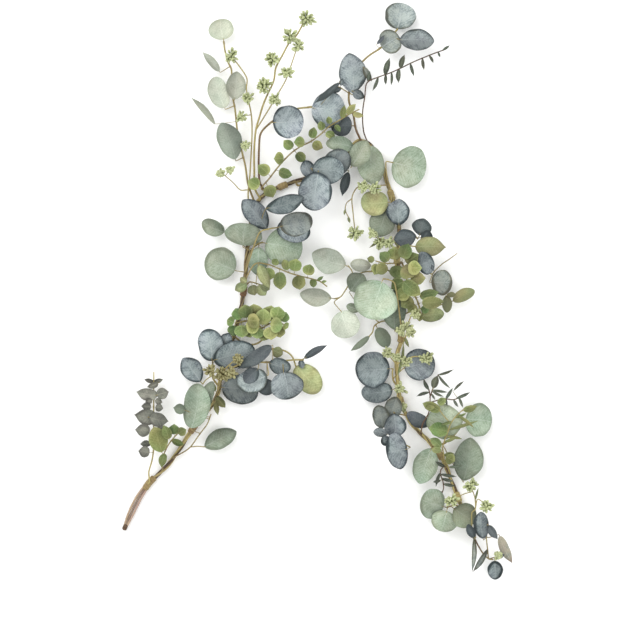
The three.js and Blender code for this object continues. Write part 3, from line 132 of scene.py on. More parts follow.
# Sprays in the order they are laid on the vine. A stem row is its radius, its arch and its plan points, and
# the first stem starts on the vine. A leaf row is its kind, heel, tip, width and slope; a head row its centre
# and reach. The tones are a letter for each leaf. Brown is how brown the stems are at the vine: from 1 down
# to 0 for golden and to -1 for pale straw, and over 1 for stems dark all along. Pointed makes the small
# leaves slim ovals that end in a point, seed_tan turns the seeds tan, and settle lowers the foot onto what
# lies there.
spray("silver_dollar_spray_pale", "pale", 3, tones="wslsud", brown=0.3,
    stems=[(2, 10, (-117, 160), (-124, 192), (-129, 225), (-137, 258), (-143, 285), (-148, 330), (-154, 360),
      (-154, 398), (-161, 414), (-166, 434), (-168, 450))],
    leaves=[("round", -168, 447, -174, 490, 46), ("point", -176, 396, -207, 431, 15),
      ("round", -166, 330, -185, 385, 37), ("oval", -150, 338, -144, 395, 36),
      ("oval", -147, 237, -172, 303, 44, 0.3), ("slim", -184, 301, -229, 350, 12)])
spray("seeded_spray_left", "seed", 2, brown=0.15,
    stems=[(1.7, 12, (-121, 128), (-124, 170), (-121, 207), (-119, 240), (-117, 280), (-118, 315),
      (-124, 346), (-127, 364), (-126, 382), (-138, 402), (-152, 420)), (1.3, 4, (-122, 182), (-138, 182),
      (-152, 196), (-166, 208))],
    heads=[(-154, 424, 16), (-124, 346, 15), (-136, 314, 13), (-129, 262, 11), (-174, 212, 10),
      (-156, 218, 10)])
spray("seeded_spray_crown", "seed", 2, brown=0.05,
    stems=[(2, 12, (-104, 166), (-112, 185), (-113, 218), (-113, 255), (-110, 290), (-103, 315), (-97, 335),
      (-89, 354), (-78, 378), (-74, 402), (-62, 425), (-50, 447), (-36, 462), (-24, 484)), (1.5, 4,
      (-110, 290), (-88, 325), (-72, 352), (-56, 380), (-48, 402), (-38, 432))],
    heads=[(-20, 490, 18), (-49, 458, 18), (-34, 440, 15), (-80, 417, 16), (-54, 392, 15), (-96, 368, 17),
      (-74, 343, 15)])
spray("silver_dollar_spray_blue_top_right", "blue", 4, tones="dlqsygkdkd", brown=0.6,
    stems=[(2.2, 12, (80, 273), (70, 292), (66, 315), (58, 340), (58, 358), (66, 384), (78, 408), (94, 424),
      (112, 436), (130, 452), (145, 472)), (1.3, 2, (58, 356), (42, 366), (30, 372))],
    leaves=[("round", 71, 298, 25, 300, 40), ("oval", 65, 356, 58, 428, 50),
      ("round", 112, 434, 148, 458, 46), ("oval", 148, 452, 211, 449, 40), ("round", 146, 478, 152, 519, 57),
      ("point", 84, 402, 99, 376, 12), ("point", 60, 362, 87, 347, 17), ("slim", 44, 366, 26, 358, 9),
      ("slim", 42, 366, 46, 382, 9), ("slim", 108, 444, 122, 461, 7)])
spray("narrow_leaf_twig_top", "twig", 2, brown=1.9,
    stems=[(1.5, 8, (92, 266), (84, 288), (82, 320), (86, 350), (90, 374), (110, 384), (130, 392), (150, 401),
      (168, 410), (186, 418), (208, 427), (230, 435))],
    leaves=[("slim", 110, 384, 99, 358, 6), ("slim", 124, 390, 124, 370, 6), ("slim", 134, 394, 133, 369, 5),
      ("slim", 148, 400, 147, 374, 9), ("slim", 168, 410, 175, 386, 6), ("slim", 190, 419, 193, 397, 6),
      ("slim", 202, 425, 210, 410, 5), ("slim", 218, 431, 222, 421, 4), ("slim", 150, 401, 158, 426, 10),
      ("slim", 122, 389, 131, 420, 11), ("slim", 92, 375, 95, 396, 7), ("slim", 226, 434, 240, 443, 5)])
spray("silver_dollar_spray_blue_crown", "blue", 4, tones="lpd", brown=0.9,
    stems=[(2.2, 6, (-92, 176), (-103, 196), (-105, 226), (-104, 262), (-101, 284), (-86, 301), (-62, 318),
      (-38, 328), (-16, 331), (6, 334))],
    leaves=[("round", -84, 300, -24, 306, 60), ("round", -15, 330, 50, 319, 66),
      ("slim", 40, 374, -5, 337, 13)])
spray("baby_spray_crown", "green", 3, tones="lmmmmsssosxxssxoo", pointed=True,
    stems=[(1.7, 8, (-108, 158), (-100, 184), (-85, 204), (-67, 227), (-48, 247), (-30, 260), (-10, 270),
      (8, 283), (22, 296), (40, 307), (58, 318), (76, 327))],
    leaves=[("small", -99, 185, -125, 199, 28), ("small", -80, 204, -106, 227, 27),
      ("small", -54, 238, -78, 238, 25), ("small", -41, 254, -60, 270, 22), ("small", -16, 264, -42, 266, 22),
      ("small", -10, 270, -5, 295, 19), ("small", 10, 284, 6, 306, 17), ("small", 24, 297, 20, 314, 12),
      ("small", 46, 310, 50, 334, 13), ("small", -92, 195, -79, 168, 28), ("small", -74, 218, -44, 208, 22),
      ("small", -40, 252, -21, 232, 20), ("small", -12, 268, 11, 257, 20), ("small", 12, 286, 33, 276, 17),
      ("small", 30, 301, 42, 286, 11), ("small", 50, 313, 70, 336, 14), ("small", 60, 319, 84, 314, 12)])
spray("silver_dollar_spray_mint_crown", "mint", 4, tones="slm",
    stems=[(2, 4, (66, 262), (72, 246), (84, 232), (97, 236))],
    leaves=[("egg", 66, 258, 16, 266, 28), ("oval", 98, 262, 103, 191, 50), ("oval", 62, 224, 90, 270, 38)])
spray("silver_dollar_leaf_mint_right", "mint", 2, tones="l",
    stems=[(1.6, 2, (118, 230), (124, 232), (132, 232), (139, 231))],
    leaves=[("round", 136, 231, 195, 213, 76)])
spray("silver_dollar_spray_blue_cross", "blue", 4, tones="mkdsm",
    stems=[(2.2, 4, (-50, 196), (-34, 190), (-12, 196), (8, 208), (26, 222))],
    leaves=[("egg", -10, 202, -22, 235, 26), ("round", 12, 224, 60, 242, 46), ("point", 56, 214, 45, 170, 17),
      ("round", -8, 220, 49, 214, 50), ("round", 2, 213, -8, 144, 60)])
spray("silver_dollar_spray_blue_left", "blue", 4, tones="sk",
    stems=[(1.9, 3, (-117, 140), (-106, 132), (-96, 128))],
    leaves=[("oval", -90, 112, -134, 164, 40), ("oval", -92, 147, -24, 168, 33)])
spray("silver_dollar_spray_mint_left", "mint", 4, tones="msslm",
    stems=[(2, 5, (-130, 30), (-126, 52), (-119, 72), (-108, 84), (-98, 88))],
    leaves=[("round", -148, 37, -200, 62, 60, 0.12), ("egg", -167, 106, -207, 125, 30),
      ("round", -133, 82, -128, 122, 68), ("round", -98, 86, -27, 70, 68), ("oval", -104, 84, -107, 28, 36)])
spray("silver_dollar_spray_grey_left", "blue", 3, tones="le", settle=1.4,
    stems=[(1.8, 3, (-122, 100), (-104, 104), (-84, 112), (-72, 114))],
    leaves=[("round", -68, 110, -12, 104, 44), ("round", -72, 116, -8, 128, 44)])
spray("baby_spray_left", "green", 8, tones="fcsfcfcsfc",
    stems=[(1.6, 6, (-132, 36), (-112, 48), (-90, 48), (-68, 40), (-48, 32), (-30, 27), (-10, 22), (6, 17),
      (18, 8))],
    leaves=[("small", -88, 50, -88, 18, 27), ("small", -67, 42, -65, 2, 24), ("small", -52, 30, -60, 57, 15),
      ("small", -42, 27, -37, 58, 25), ("small", -32, 31, -31, 2, 25), ("small", -19, 19, -12, 48, 22),
      ("small", -8, 23, -6, 6, 13), ("slim", 0, 19, 12, 27, 6), ("slim", 8, 16, 18, 18, 5),
      ("small", -80, 44, -72, 58, 14)])
spray("baby_spray_grey", "olive", 4, tones="fcfcff",
    stems=[(1.5, 3, (-134, 12), (-122, 16), (-110, 14), (-98, 10))],
    leaves=[("small", -122, 16, -148, 1, 18), ("small", -118, 15, -112, -8, 20),
      ("small", -110, 14, -92, -8, 20), ("small", -104, 12, -85, 2, 13), ("small", -126, 15, -138, 24, 12),
      ("point", -104, 46, -84, 3, 20)])
spray("baby_spray_left_middle", "green", 3, tones="qfpfcfpwfcapffwpaws",
    stems=[(1.9, 5, (-150, -82), (-132, -94), (-112, -96), (-98, -86), (-100, -68), (-112, -56), (-128, -54),
      (-146, -58)), (1.6, 3, (-100, -68), (-88, -60), (-74, -56), (-60, -60))],
    leaves=[("small", -112, -56, -114, -23, 30), ("small", -136, -56, -147, -31, 25),
      ("small", -88, -60, -82, -26, 31), ("small", -124, -55, -120, -84, 30),
      ("small", -146, -58, -153, -81, 23), ("small", -94, -64, -98, -90, 27),
      ("small", -66, -58, -55, -38, 23), ("small", -70, -57, -66, -84, 23),
      ("small", -146, -58, -162, -52, 19), ("small", -126, -54, -130, -24, 26),
      ("small", -98, -68, -96, -31, 29), ("small", -76, -57, -68, -28, 28),
      ("small", -136, -56, -134, -84, 27), ("small", -106, -60, -108, -86, 26),
      ("small", -84, -59, -82, -88, 27), ("small", -62, -59, -52, -66, 15),
      ("small", -98, -67, -128, -59, 30), ("small", -90, -61, -61, -62, 28),
      ("small", -130, -55, -103, -52, 27)])
spray("silver_dollar_spray_olive_inner", "olive", 3, tones="sv",
    stems=[(1.9, 4, (-158, -106), (-134, -112), (-108, -108), (-80, -104), (-58, -108), (-45, -118),
      (-38, -136))],
    leaves=[("egg", -84, -110, -62, -114, 20), ("round", -39, -138, 4, -182, 46)])
spray("silver_dollar_spray_blue_knee", "blue", 4, tones="slmss",
    stems=[(2, 4, (-176, -172), (-187, -158), (-190, -142), (-188, -132)), (1.4, 1, (-189, -152),
      (-200, -160), (-206, -168))],
    leaves=[("small", -168, -100, -158, -75, 22), ("round", -189, -131, -197, -68, 46),
      ("oval", -207, -170, -242, -121, 38, 0.2), ("round", -172, -172, -106, -186, 53),
      ("round", -186, -125, -112, -104, 48)])
spray("silver_dollar_spray_blue_inner", "blue", 4, tones="dzkmdddk", brown=0.2,
    stems=[(2, 4, (-154, -124), (-130, -128), (-108, -128), (-88, -128), (-64, -126), (-40, -124),
      (-24, -124))],
    leaves=[("egg", -90, -158, -92, -188, 34), ("round", -90, -152, -144, -168, 44),
      ("egg", -92, -128, -47, -139, 30), ("round", -60, -146, -52, -195, 60),
      ("point", -82, -99, -144, -141, 25), ("egg", -106, -140, -130, -164, 27),
      ("point", -28, -124, 20, -97, 13), ("slim", -30, -123, -26, -141, 12)])
spray("seeded_spray_knee", "seed", 3, tones="sms", seed_tan=0.75,
    stems=[(1.8, 4, (-184, -194), (-178, -176), (-172, -158), (-168, -144), (-152, -128), (-142, -122)), (1.3,
      1, (-174, -162), (-190, -150), (-204, -140))],
    leaves=[("small", -182, -190, -165, -210, 14), ("slim", -183, -194, -178, -224, 10),
      ("small", -180, -184, -192, -164, 9)],
    heads=[(-170, -150, 17), (-190, -143, 15), (-154, -146, 13), (-142, -122, 12)])
spray("silver_dollar_spray_mint_low", "mint", 3, tones="ssmd",
    stems=[(1.5, 3, (-258, -300), (-240, -290), (-228, -281), (-210, -256), (-198, -240), (-191, -222)), (1.3,
      1, (-228, -281), (-214, -280), (-201, -281))],
    leaves=[("oval", -203, -283, -145, -253, 36, -0.2), ("egg", -206, -222, -187, -162, 25),
      ("round", -225, -246, -213, -166, 48), ("point", -236, -214, -258, -209, 19)])
spray("baby_spray_mauve", "mauve", 8, tones="ssmllmsssmsmsxs", brown=-0.5, pointed=True,
    stems=[(1.7, 8, (-300, -344), (-303, -326), (-297, -304), (-294, -280), (-294, -256), (-294, -232),
      (-294, -208), (-294, -186), (-294, -168), (-294, -146))],
    leaves=[("small", -292, -164, -311, -159, 9), ("small", -296, -164, -277, -159, 9),
      ("small", -286, -166, -306, -173, 14), ("point", -287, -188, -326, -181, 23),
      ("point", -300, -189, -266, -181, 21), ("small", -288, -195, -309, -200, 14),
      ("small", -299, -195, -278, -201, 14), ("small", -289, -209, -316, -207, 17),
      ("small", -300, -209, -276, -211, 17), ("point", -287, -229, -329, -222, 29),
      ("point", -301, -227, -266, -234, 26), ("small", -290, -250, -327, -249, 27),
      ("small", -292, -248, -265, -252, 22), ("small", -292, -274, -318, -275, 15),
      ("small", -292, -291, -321, -287, 22)])
spray("baby_spray_low", "green", 6, tones="msxxsk", pointed=True,
    stems=[(1.6, 6, (-276, -322), (-281, -312), (-276, -294), (-267, -276), (-256, -262), (-244, -250))],
    leaves=[("oval", -281, -294, -292, -244, 35), ("small", -273, -286, -279, -317, 17),
      ("small", -256, -262, -256, -238, 22), ("small", -252, -258, -234, -248, 20),
      ("small", -262, -268, -239, -277, 14), ("small", -264, -270, -275, -240, 20)])
spray("silver_dollar_spray_grey_top_right", "mint", 3, tones="s",
    stems=[(1.8, 2, (142, 148), (134, 152), (128, 154))],
    leaves=[("oval", 127, 154, 108, 98, 48)])
spray("silver_dollar_spray_olive_top_right", "olive", 3, tones="p",
    stems=[(1.9, 2, (133, 176), (134, 168), (134, 160))],
    leaves=[("round", 136, 160, 79, 160, 46)])
spray("seeded_spray_top_right", "seed", 2, settle=3.75,
    stems=[(1.5, 4, (124, 198), (112, 190), (96, 188), (80, 190), (70, 184), (63, 168), (65, 140), (68, 112)),
      (1.2, 1, (63, 167), (53, 158), (51, 146), (57, 132))],
    leaves=[("slim", 57, 134, 59, 122, 5), ("slim", 51, 148, 49, 136, 4)],
    heads=[(68, 104, 17), (84, 188, 14), (104, 184, 14)])
spray("seeded_spray_right_shoulder", "seed", 2,
    stems=[(1.6, 3, (148, 84), (138, 88), (124, 92), (108, 96), (98, 103))],
    leaves=[("slim", 116, 94, 93, 77, 5), ("slim", 140, 88, 147, 79, 4)],
    heads=[(113, 87, 14), (129, 86, 14), (100, 103, 12)])
spray("silver_dollar_spray_blue_shoulder", "blue", 3, tones="dddm",
    stems=[(1.9, 4, (146, 112), (158, 106), (170, 104), (182, 94))],
    leaves=[("oval", 138, 92, 178, 99, 33), ("oval", 182, 92, 192, 130, 36), ("egg", 182, 98, 208, 94, 28),
      ("oval", 148, 112, 148, 166, 42)])
spray("olive_leaf_spray_right", "olive", 3, tones="o",
    stems=[(1.7, 4, (150, 76), (160, 80), (172, 80), (184, 78))],
    leaves=[("point", 176, 77, 232, 78, 36)])
spray("silver_dollar_spray_blue_right", "blue", 3, tones="kwd",
    stems=[(1.8, 4, (146, 34), (162, 40), (180, 42), (196, 36), (208, 30)), (1.2, 1, (208, 30), (214, 38),
      (226, 49), (238, 57), (253, 68))],
    leaves=[("round", 174, 44, 209, 54, 42), ("round", 206, 16, 244, 16, 46), ("slim", 208, 34, 204, 48, 5)])
spray("olive_leaf_spray_right_low", "olive", 3, tones="mtdd",
    stems=[(1.7, 4, (151, -46), (166, -38), (186, -32), (206, -30), (226, -24), (241, -20))],
    leaves=[("egg", 186, -46, 229, -40, 26), ("egg", 240, -22, 284, 1, 23), ("egg", 234, -8, 234, -39, 18),
      ("small", 234, -8, 250, -6, 10)])
spray("silver_dollar_spray_mint_centre", "pale", 3, tones="sssp",
    stems=[(1.7, 5, (145, 44), (124, 40), (104, 36), (84, 34), (66, 26), (54, 6), (43, -10), (32, -14)), (1.2,
      1, (42, -11), (31, -20), (36, -28), (44, -37)), (1.4, 1, (66, 26), (62, 38), (56, 46))],
    leaves=[("oval", 58, 44, -9, 68, 46), ("egg", 97, 45, 60, 49, 24), ("oval", 30, -11, -31, -5, 33),
      ("round", 44, -36, 61, -83, 53)])
spray("silver_dollar_spray_grey_centre", "mint", 3, tones="dsdsx",
    stems=[(1.7, 4, (151, -66), (138, -58), (120, -54), (104, -62), (100, -74), (94, -82)), (1.4, 2,
      (112, -56), (96, -44), (82, -36))],
    leaves=[("slim", 94, -81, 59, -109, 12), ("egg", 82, -38, 53, -26, 17),
      ("egg", 104, -58, 128, -101, 27, -0.3), ("oval", 140, -70, 138, 2, 44), ("oval", 60, 0, 84, 30, 40)])
spray("baby_spray_right", "green", 3, tones="fcsosxqcucogmxkcasgs", pointed=True, settle=5.65,
    stems=[(1.9, 8, (145, 66), (152, 52), (158, 36), (162, 18), (168, 2), (178, -12), (184, -28), (186, -42)),
      (1.5, 3, (152, 52), (138, 50), (122, 50), (106, 54))],
    leaves=[("small", 112, 52, 103, 29, 24), ("small", 148, 52, 143, 20, 33), ("small", 162, 20, 133, 4, 31),
      ("small", 176, -10, 151, -29, 28), ("small", 138, 50, 140, 80, 29), ("small", 154, 50, 182, 66, 28),
      ("small", 162, 20, 195, 23, 29), ("small", 178, -12, 218, -2, 23), ("small", 186, -40, 201, -28, 17),
      ("small", 106, 54, 90, 59, 14), ("small", 130, 49, 106, 31, 26), ("small", 147, 47, 174, 25, 31),
      ("small", 168, 2, 143, -15, 29), ("small", 183, -22, 163, -38, 22), ("small", 132, 50, 112, 69, 22),
      ("small", 152, 52, 164, 85, 28), ("small", 157, 40, 188, 41, 28), ("small", 155, 16, 186, -8, 30),
      ("small", 182, -22, 227, -18, 25), ("small", 186, -40, 184, -55, 14)])
spray("silver_dollar_leaf_mint_centre", "mint", 3, tones="v", settle=8.6,
    stems=[(1.8, 2, (150, 0), (140, 12), (130, 20), (119, 22))],
    leaves=[("round", 118, 20, 88, -48, 80)])
spray("seeded_spray_right", "seed", 2, brown=-0.3, seed_tan=0.2,
    stems=[(1.6, 4, (153, -104), (158, -88), (162, -70), (166, -52), (172, -38)), (1.2, 1, (158, -86),
      (148, -76), (142, -67))],
    leaves=[("slim", 160, -84, 166, -102, 6)],
    heads=[(160, -64, 14), (150, -72, 12), (167, -74, 11), (176, -42, 12)])
spray("silver_dollar_spray_blue_right_leg", "blue", 3, tones="ssm",
    stems=[(1.9, 3, (145, -176), (138, -162), (136, -150), (137, -140)), (1.5, 2, (137, -158), (148, -146),
      (158, -138))],
    leaves=[("round", 136, -178, 80, -184, 38), ("round", 136, -140, 69, -140, 65),
      ("round", 157, -138, 212, -126, 58)])
spray("seeded_spray_right_leg", "seed", 2, brown=-0.8, seed_tan=0.15,
    stems=[(1.6, 4, (147, -166), (145, -148), (146, -132), (158, -124), (176, -118), (194, -120)), (1.3, 2,
      (146, -134), (136, -124), (127, -112)), (1.3, 2, (146, -160), (150, -178), (152, -204))],
    leaves=[("slim", 144, -152, 155, -88, 6)],
    heads=[(127, -111, 13), (143, -118, 11), (160, -127, 13), (195, -121, 15), (150, -176, 14),
      (153, -209, 12)])
spray("silver_dollar_spray_blue_right_low", "blue", 3, tones="eesxxsd",
    stems=[(1.8, 4, (160, -218), (146, -222), (136, -236), (138, -256), (152, -272), (168, -282))],
    leaves=[("egg", 143, -190, 129, -231, 32), ("egg", 118, -246, 109, -205, 31),
      ("oval", 138, -220, 140, -264, 40), ("egg", 126, -257, 101, -252, 17),
      ("egg", 132, -265, 115, -273, 19), ("round", 169, -286, 124, -290, 66),
      ("egg", 202, -241, 162, -219, 26)])
spray("silver_dollar_spray_mint_right_leg", "mint", 4, tones="lsvp",
    stems=[(2, 5, (214, -284), (226, -276), (238, -268), (252, -254), (260, -240), (262, -230)), (1.4, 2,
      (226, -276), (214, -280), (207, -284))],
    leaves=[("oval", 208, -280, 184, -347, 46), ("oval", 264, -342, 277, -264, 54),
      ("oval", 232, -276, 226, -202, 64), ("round", 260, -230, 315, -236, 62)])
spray("narrow_leaf_twig_right_leg", "twig", 2, brown=1.5,
    stems=[(1.6, 5, (178, -250), (190, -238), (200, -220), (203, -200), (202, -180), (193, -160)), (1.3, 2,
      (203, -192), (208, -176), (218, -150)), (1.3, 2, (203, -200), (218, -196), (232, -194), (246, -195),
      (262, -188))],
    leaves=[("slim", 218, -151, 247, -140, 5), ("slim", 220, -152, 241, -176, 5),
      ("slim", 246, -178, 265, -161, 5), ("slim", 250, -194, 276, -181, 6), ("slim", 207, -178, 236, -182, 5),
      ("slim", 203, -182, 178, -190, 6), ("point", 206, -180, 217, -151, 13),
      ("slim", 231, -194, 244, -173, 6), ("slim", 232, -194, 234, -207, 4), ("slim", 245, -195, 254, -209, 5),
      ("slim", 255, -192, 262, -210, 5), ("slim", 205, -184, 212, -196, 4), ("slim", 207, -180, 228, -190, 5),
      ("slim", 200, -178, 191, -158, 7)])
spray("baby_spray_right_leg", "green", 4, tones="ssxmxxxxxxxooxs", brown=-0.2,
    stems=[(1.5, 5, (232, -314), (228, -296), (226, -278), (234, -256), (240, -238), (252, -222),
      (264, -212)), (1.2, 1, (240, -238), (226, -222), (214, -206), (206, -200))],
    leaves=[("small", 222, -214, 189, -201, 18), ("small", 214, -206, 230, -192, 14),
      ("slim", 214, -207, 193, -211, 9), ("small", 236, -252, 200, -245, 26),
      ("slim", 262, -214, 288, -206, 13), ("slim", 248, -228, 269, -218, 5),
      ("slim", 238, -250, 292, -232, 6), ("slim", 236, -262, 262, -266, 6), ("slim", 244, -236, 222, -240, 6),
      ("slim", 256, -226, 282, -246, 6), ("slim", 230, -272, 253, -260, 6),
      ("small", 227, -284, 203, -264, 16), ("small", 227, -286, 205, -284, 12),
      ("slim", 228, -296, 249, -293, 8), ("small", 228, -296, 248, -306, 20)])
spray("narrow_leaf_twig_right_low", "twig", 2, brown=1.5,
    stems=[(1.5, 3, (240, -330), (230, -316), (222, -326), (227, -344), (228, -356), (223, -370))],
    leaves=[("slim", 230, -318, 264, -314, 6), ("slim", 223, -330, 252, -334, 6),
      ("slim", 222, -327, 214, -353, 6), ("slim", 226, -338, 246, -342, 6), ("slim", 227, -348, 250, -352, 6),
      ("slim", 226, -340, 208, -344, 6), ("slim", 226, -362, 207, -366, 5),
      ("slim", 230, -317, 212, -306, 7)])
spray("silver_dollar_spray_mint_right_low", "mint", 3, tones="mlg",
    stems=[(1.8, 3, (258, -384), (248, -386), (240, -388), (234, -390))],
    leaves=[("round", 231, -386, 187, -375, 56), ("round", 237, -395, 222, -432, 48),
      ("oval", 241, -388, 284, -416, 48)])
spray("seeded_spray_right_low", "seed", 2, brown=0.1,
    stems=[(1.5, 3, (268, -408), (278, -398), (284, -392), (284, -374), (280, -360), (276, -350)), (1.2, 1,
      (284, -392), (288, -374), (296, -378), (303, -386)), (1.2, 1, (280, -360), (262, -366), (246, -376))],
    leaves=[("slim", 284, -376, 290, -352, 4)],
    heads=[(276, -348, 16), (304, -387, 15), (241, -377, 15)])
spray("silver_dollar_spray_blue_tail", "blue", 3, tones="sddqesrd", brown=0.8,
    stems=[(1.8, 4, (281, -438), (290, -458), (300, -474), (310, -483), (318, -484)), (1.5, 2, (309, -482),
      (307, -462), (305, -444)), (1.3, 1, (310, -483), (326, -478), (340, -472))],
    leaves=[("egg", 298, -444, 294, -396, 28), ("egg", 286, -448, 270, -418, 15),
      ("point", 307, -420, 324, -445, 14), ("slim", 280, -446, 277, -507, 9),
      ("slim", 303, -466, 278, -505, 10), ("egg", 321, -482, 321, -520, 28),
      ("point", 327, -439, 350, -488, 18), ("slim", 318, -482, 336, -470, 7)],
    heads=[(324, -472, 9)])


# Heights already taken over the table, on a square grid of cells, from its south-west corner.
CELL = 3
COLS = 270
ROWS = 390
WEST = -400
SOUTH = -580
OPEN = -1e6


def wobble(seed):
    """A repeatable number from -1 to 1 for each seed."""
    s = math.sin(seed * 12.9898 + 4.1414) * 43758.5453
    return 2 * (s - math.floor(s)) - 1


def new_field(height):
    return np.full(COLS * ROWS, float(height))


def cell_at(x, y):
    return (np.floor((y - SOUTH) / CELL) * COLS + np.floor((x - WEST) / CELL)).astype(int)


def cover(field, points, half, reach):
    """Raises the field to half over the points, out to a reach round each."""
    points = np.atleast_2d(points)
    n = math.ceil(reach / CELL)
    for i in range(-n, n + 1):
        for j in range(-n, n + 1):
            cells = cell_at(points[:, 0] + reach * i / n, points[:, 1] + reach * j / n)
            np.maximum.at(field, cells, points[:, 2] + half)


def along(a, b):
    """Points spread along a straight line, no more than a step apart."""
    n = max(1, math.ceil(math.hypot(b[0] - a[0], b[1] - a[1]) / STEP))
    t = (np.arange(n + 1) / n)[:, None]
    return np.asarray(a, float)[None, :3] * (1 - t) + np.asarray(b, float)[None, :3] * t


def over_triangle(a, b, c):
    """Points spread over a triangle, no more than a step apart."""
    far = max(math.dist(a[:2], b[:2]), math.dist(a[:2], c[:2]), math.dist(b[:2], c[:2]))
    n = max(1, math.ceil(far / STEP))
    i, j = np.meshgrid(np.arange(n + 1), np.arange(n + 1), indexing="ij")
    keep = i + j <= n
    u = (i[keep] / n)[:, None]
    v = (j[keep] / n)[:, None]
    return np.asarray(a) * (1 - u - v) + np.asarray(b) * u + np.asarray(c) * v


def nearest_on(paths, x, y):
    """How far away, in plan, some paths are from a plan point, and their nearest point."""
    best = None
    for path in paths:
        for a, b in zip(path, path[1:]):
            dx, dy = b[0] - a[0], b[1] - a[1]
            t = min(1, max(0, ((x - a[0]) * dx + (y - a[1]) * dy) / (dx * dx + dy * dy or 1)))
            point = (a[0] + dx * t, a[1] + dy * t, a[2] + (b[2] - a[2]) * t)
            away = math.hypot(point[0] - x, point[1] - y)
            if best is None or away < best[0]:
                best = (away, point)
    return best


def blade_frame(leaf):
    """The numbers that place a leaf's blade: its plan line, half width, slope, rise, bow and cup."""
    kind = KINDS[leaf["kind"]]
    dx = leaf["tip"][0] - leaf["heel"][0]
    dy = leaf["tip"][1] - leaf["heel"][1]
    length = math.hypot(dx, dy)
    half = leaf["width"] / 2
    slope = 0.1 * wobble(leaf["seed"]) if leaf["slope"] is None else leaf["slope"]
    rise = (kind["rise"] + 0.05 * wobble(leaf["seed"] + 0.3)) * length + leaf["tilt"]
    bow = (kind["bow"] + 0.03 * wobble(leaf["seed"] + 0.6)) * length
    return dx, dy, length, half, slope, rise, bow, kind["cup"] * half


def blade_shape(leaf):
    """The plain upper face of a blade, as the solid has it: its points and triangles."""
    kind = KINDS[leaf["kind"]]
    dx, dy, length, half, slope, rise, bow, cup = blade_frame(leaf)
    heel = leaf["heel"]

    def at(u, v, share):
        return (
            heel[0] + dx * u - dy / length * v * share * half,
            heel[1] + dy * u + dx / length * v * share * half,
            heel[2] + rise * u + bow * 4 * u * (1 - u) + (cup * abs(v) + slope * half * v) * share,
        )

    share = STALK_HALF_WIDTH / half
    left = [(*at(0, 1, share)[:2], heel[2])] + [at(u, 1, s) for u, s in kind["rows"]]
    right = [(*at(0, -1, share)[:2], heel[2])] + [at(u, -1, s) for u, s in kind["rows"]]
    n = len(left)
    points = left + right + [at(1, 0, 0)]
    faces = []
    if kind["dish"]:
        rim = [n + i for i in range(n)] + [2 * n] + list(range(n - 1, -1, -1))
        points.append(at(0.43, 0, 0))
        faces = [(a, rim[(i + 1) % len(rim)], 2 * n + 1) for i, a in enumerate(rim)]
    else:
        for i in range(n - 1):
            faces += [(i, n + i, n + i + 1), (i, n + i + 1, i + 1)]
        faces.append((n - 1, 2 * n - 1, 2 * n))
    return points, faces


def blade_points(leaf):
    """Points spread over the whole face of a leaf's plain blade."""
    points, faces = blade_shape(leaf)
    return np.concatenate([over_triangle(*(points[i] for i in face)) for face in faces])


def head_directions(head):
    """The seeds of a head: where each points and how far."""
    count, reach, seed = head["count"], head["reach"], head["seed"]
    out = []
    for slot in range(2 * count):
        turn = math.pi * (slot + 1) / count + seed
        lean = (0.6 if slot % 2 == 0 else 0.15) + 0.08 * wobble(seed + slot * 0.71)
        way = (math.cos(turn) * math.cos(lean), math.sin(turn) * math.cos(lean), math.sin(lean))
        out.append((np.array(way), reach * (1 + 0.12 * wobble(seed + slot * 0.37))))
    out.append((np.array((0.0, 0.0, 1.0)), reach * 0.6))
    return out


def lift_path(path, radius, side, base):
    """Raises a stem's points, all but its root, till it clears what lies under it."""
    for i in range(1, len(path) - 1):
        a, b = path[i], path[i + 1]
        away = math.hypot(b[0] - a[0], b[1] - a[1]) or 1
        sx, sy = -(b[1] - a[1]) / away, (b[0] - a[0]) / away
        line = along(a, b)
        level = OPEN
        for s in range(-2, 3):
            cells = cell_at(line[:, 0] + sx * s * side / 2, line[:, 1] + sy * s * side / 2)
            level = max(level, base[cells].max() + STEM_GAP + radius)
        a[2] = max(a[2], level)
        b[2] = max(b[2], level)
    outward = [(i, i - 1) for i in range(2, len(path))]
    inward = [(i, i + 1) for i in range(len(path) - 2, 0, -1)]
    for i, k in outward + inward:
        path[i][2] = max(path[i][2], path[k][2] - CLIMB * math.dist(path[i][:2], path[k][:2]))


def stalk_bend(start, end, base):
    """A point of a stalk close to the stem, so high that the rest of the stalk clears what lies under it."""
    d = math.dist(start[:2], end[:2])
    t = min(0.5, 5 / max(d, 1))
    bend = [start[k] + (end[k] - start[k]) * (0.6 if k == 2 else t) for k in range(3)]
    line = along(bend, end)
    need = base[cell_at(line[:, 0], line[:, 1])] + STEM_GAP + STALK_HALF_HEIGHT - line[:, 2]
    bend[2] += max(0, need.max())
    return bend


def cover_line(field, points, half, reach):
    """Raises the field to half over a path, out to a reach beside it."""
    for a, b in zip(points, points[1:]):
        cover(field, along(a, b), half, reach)


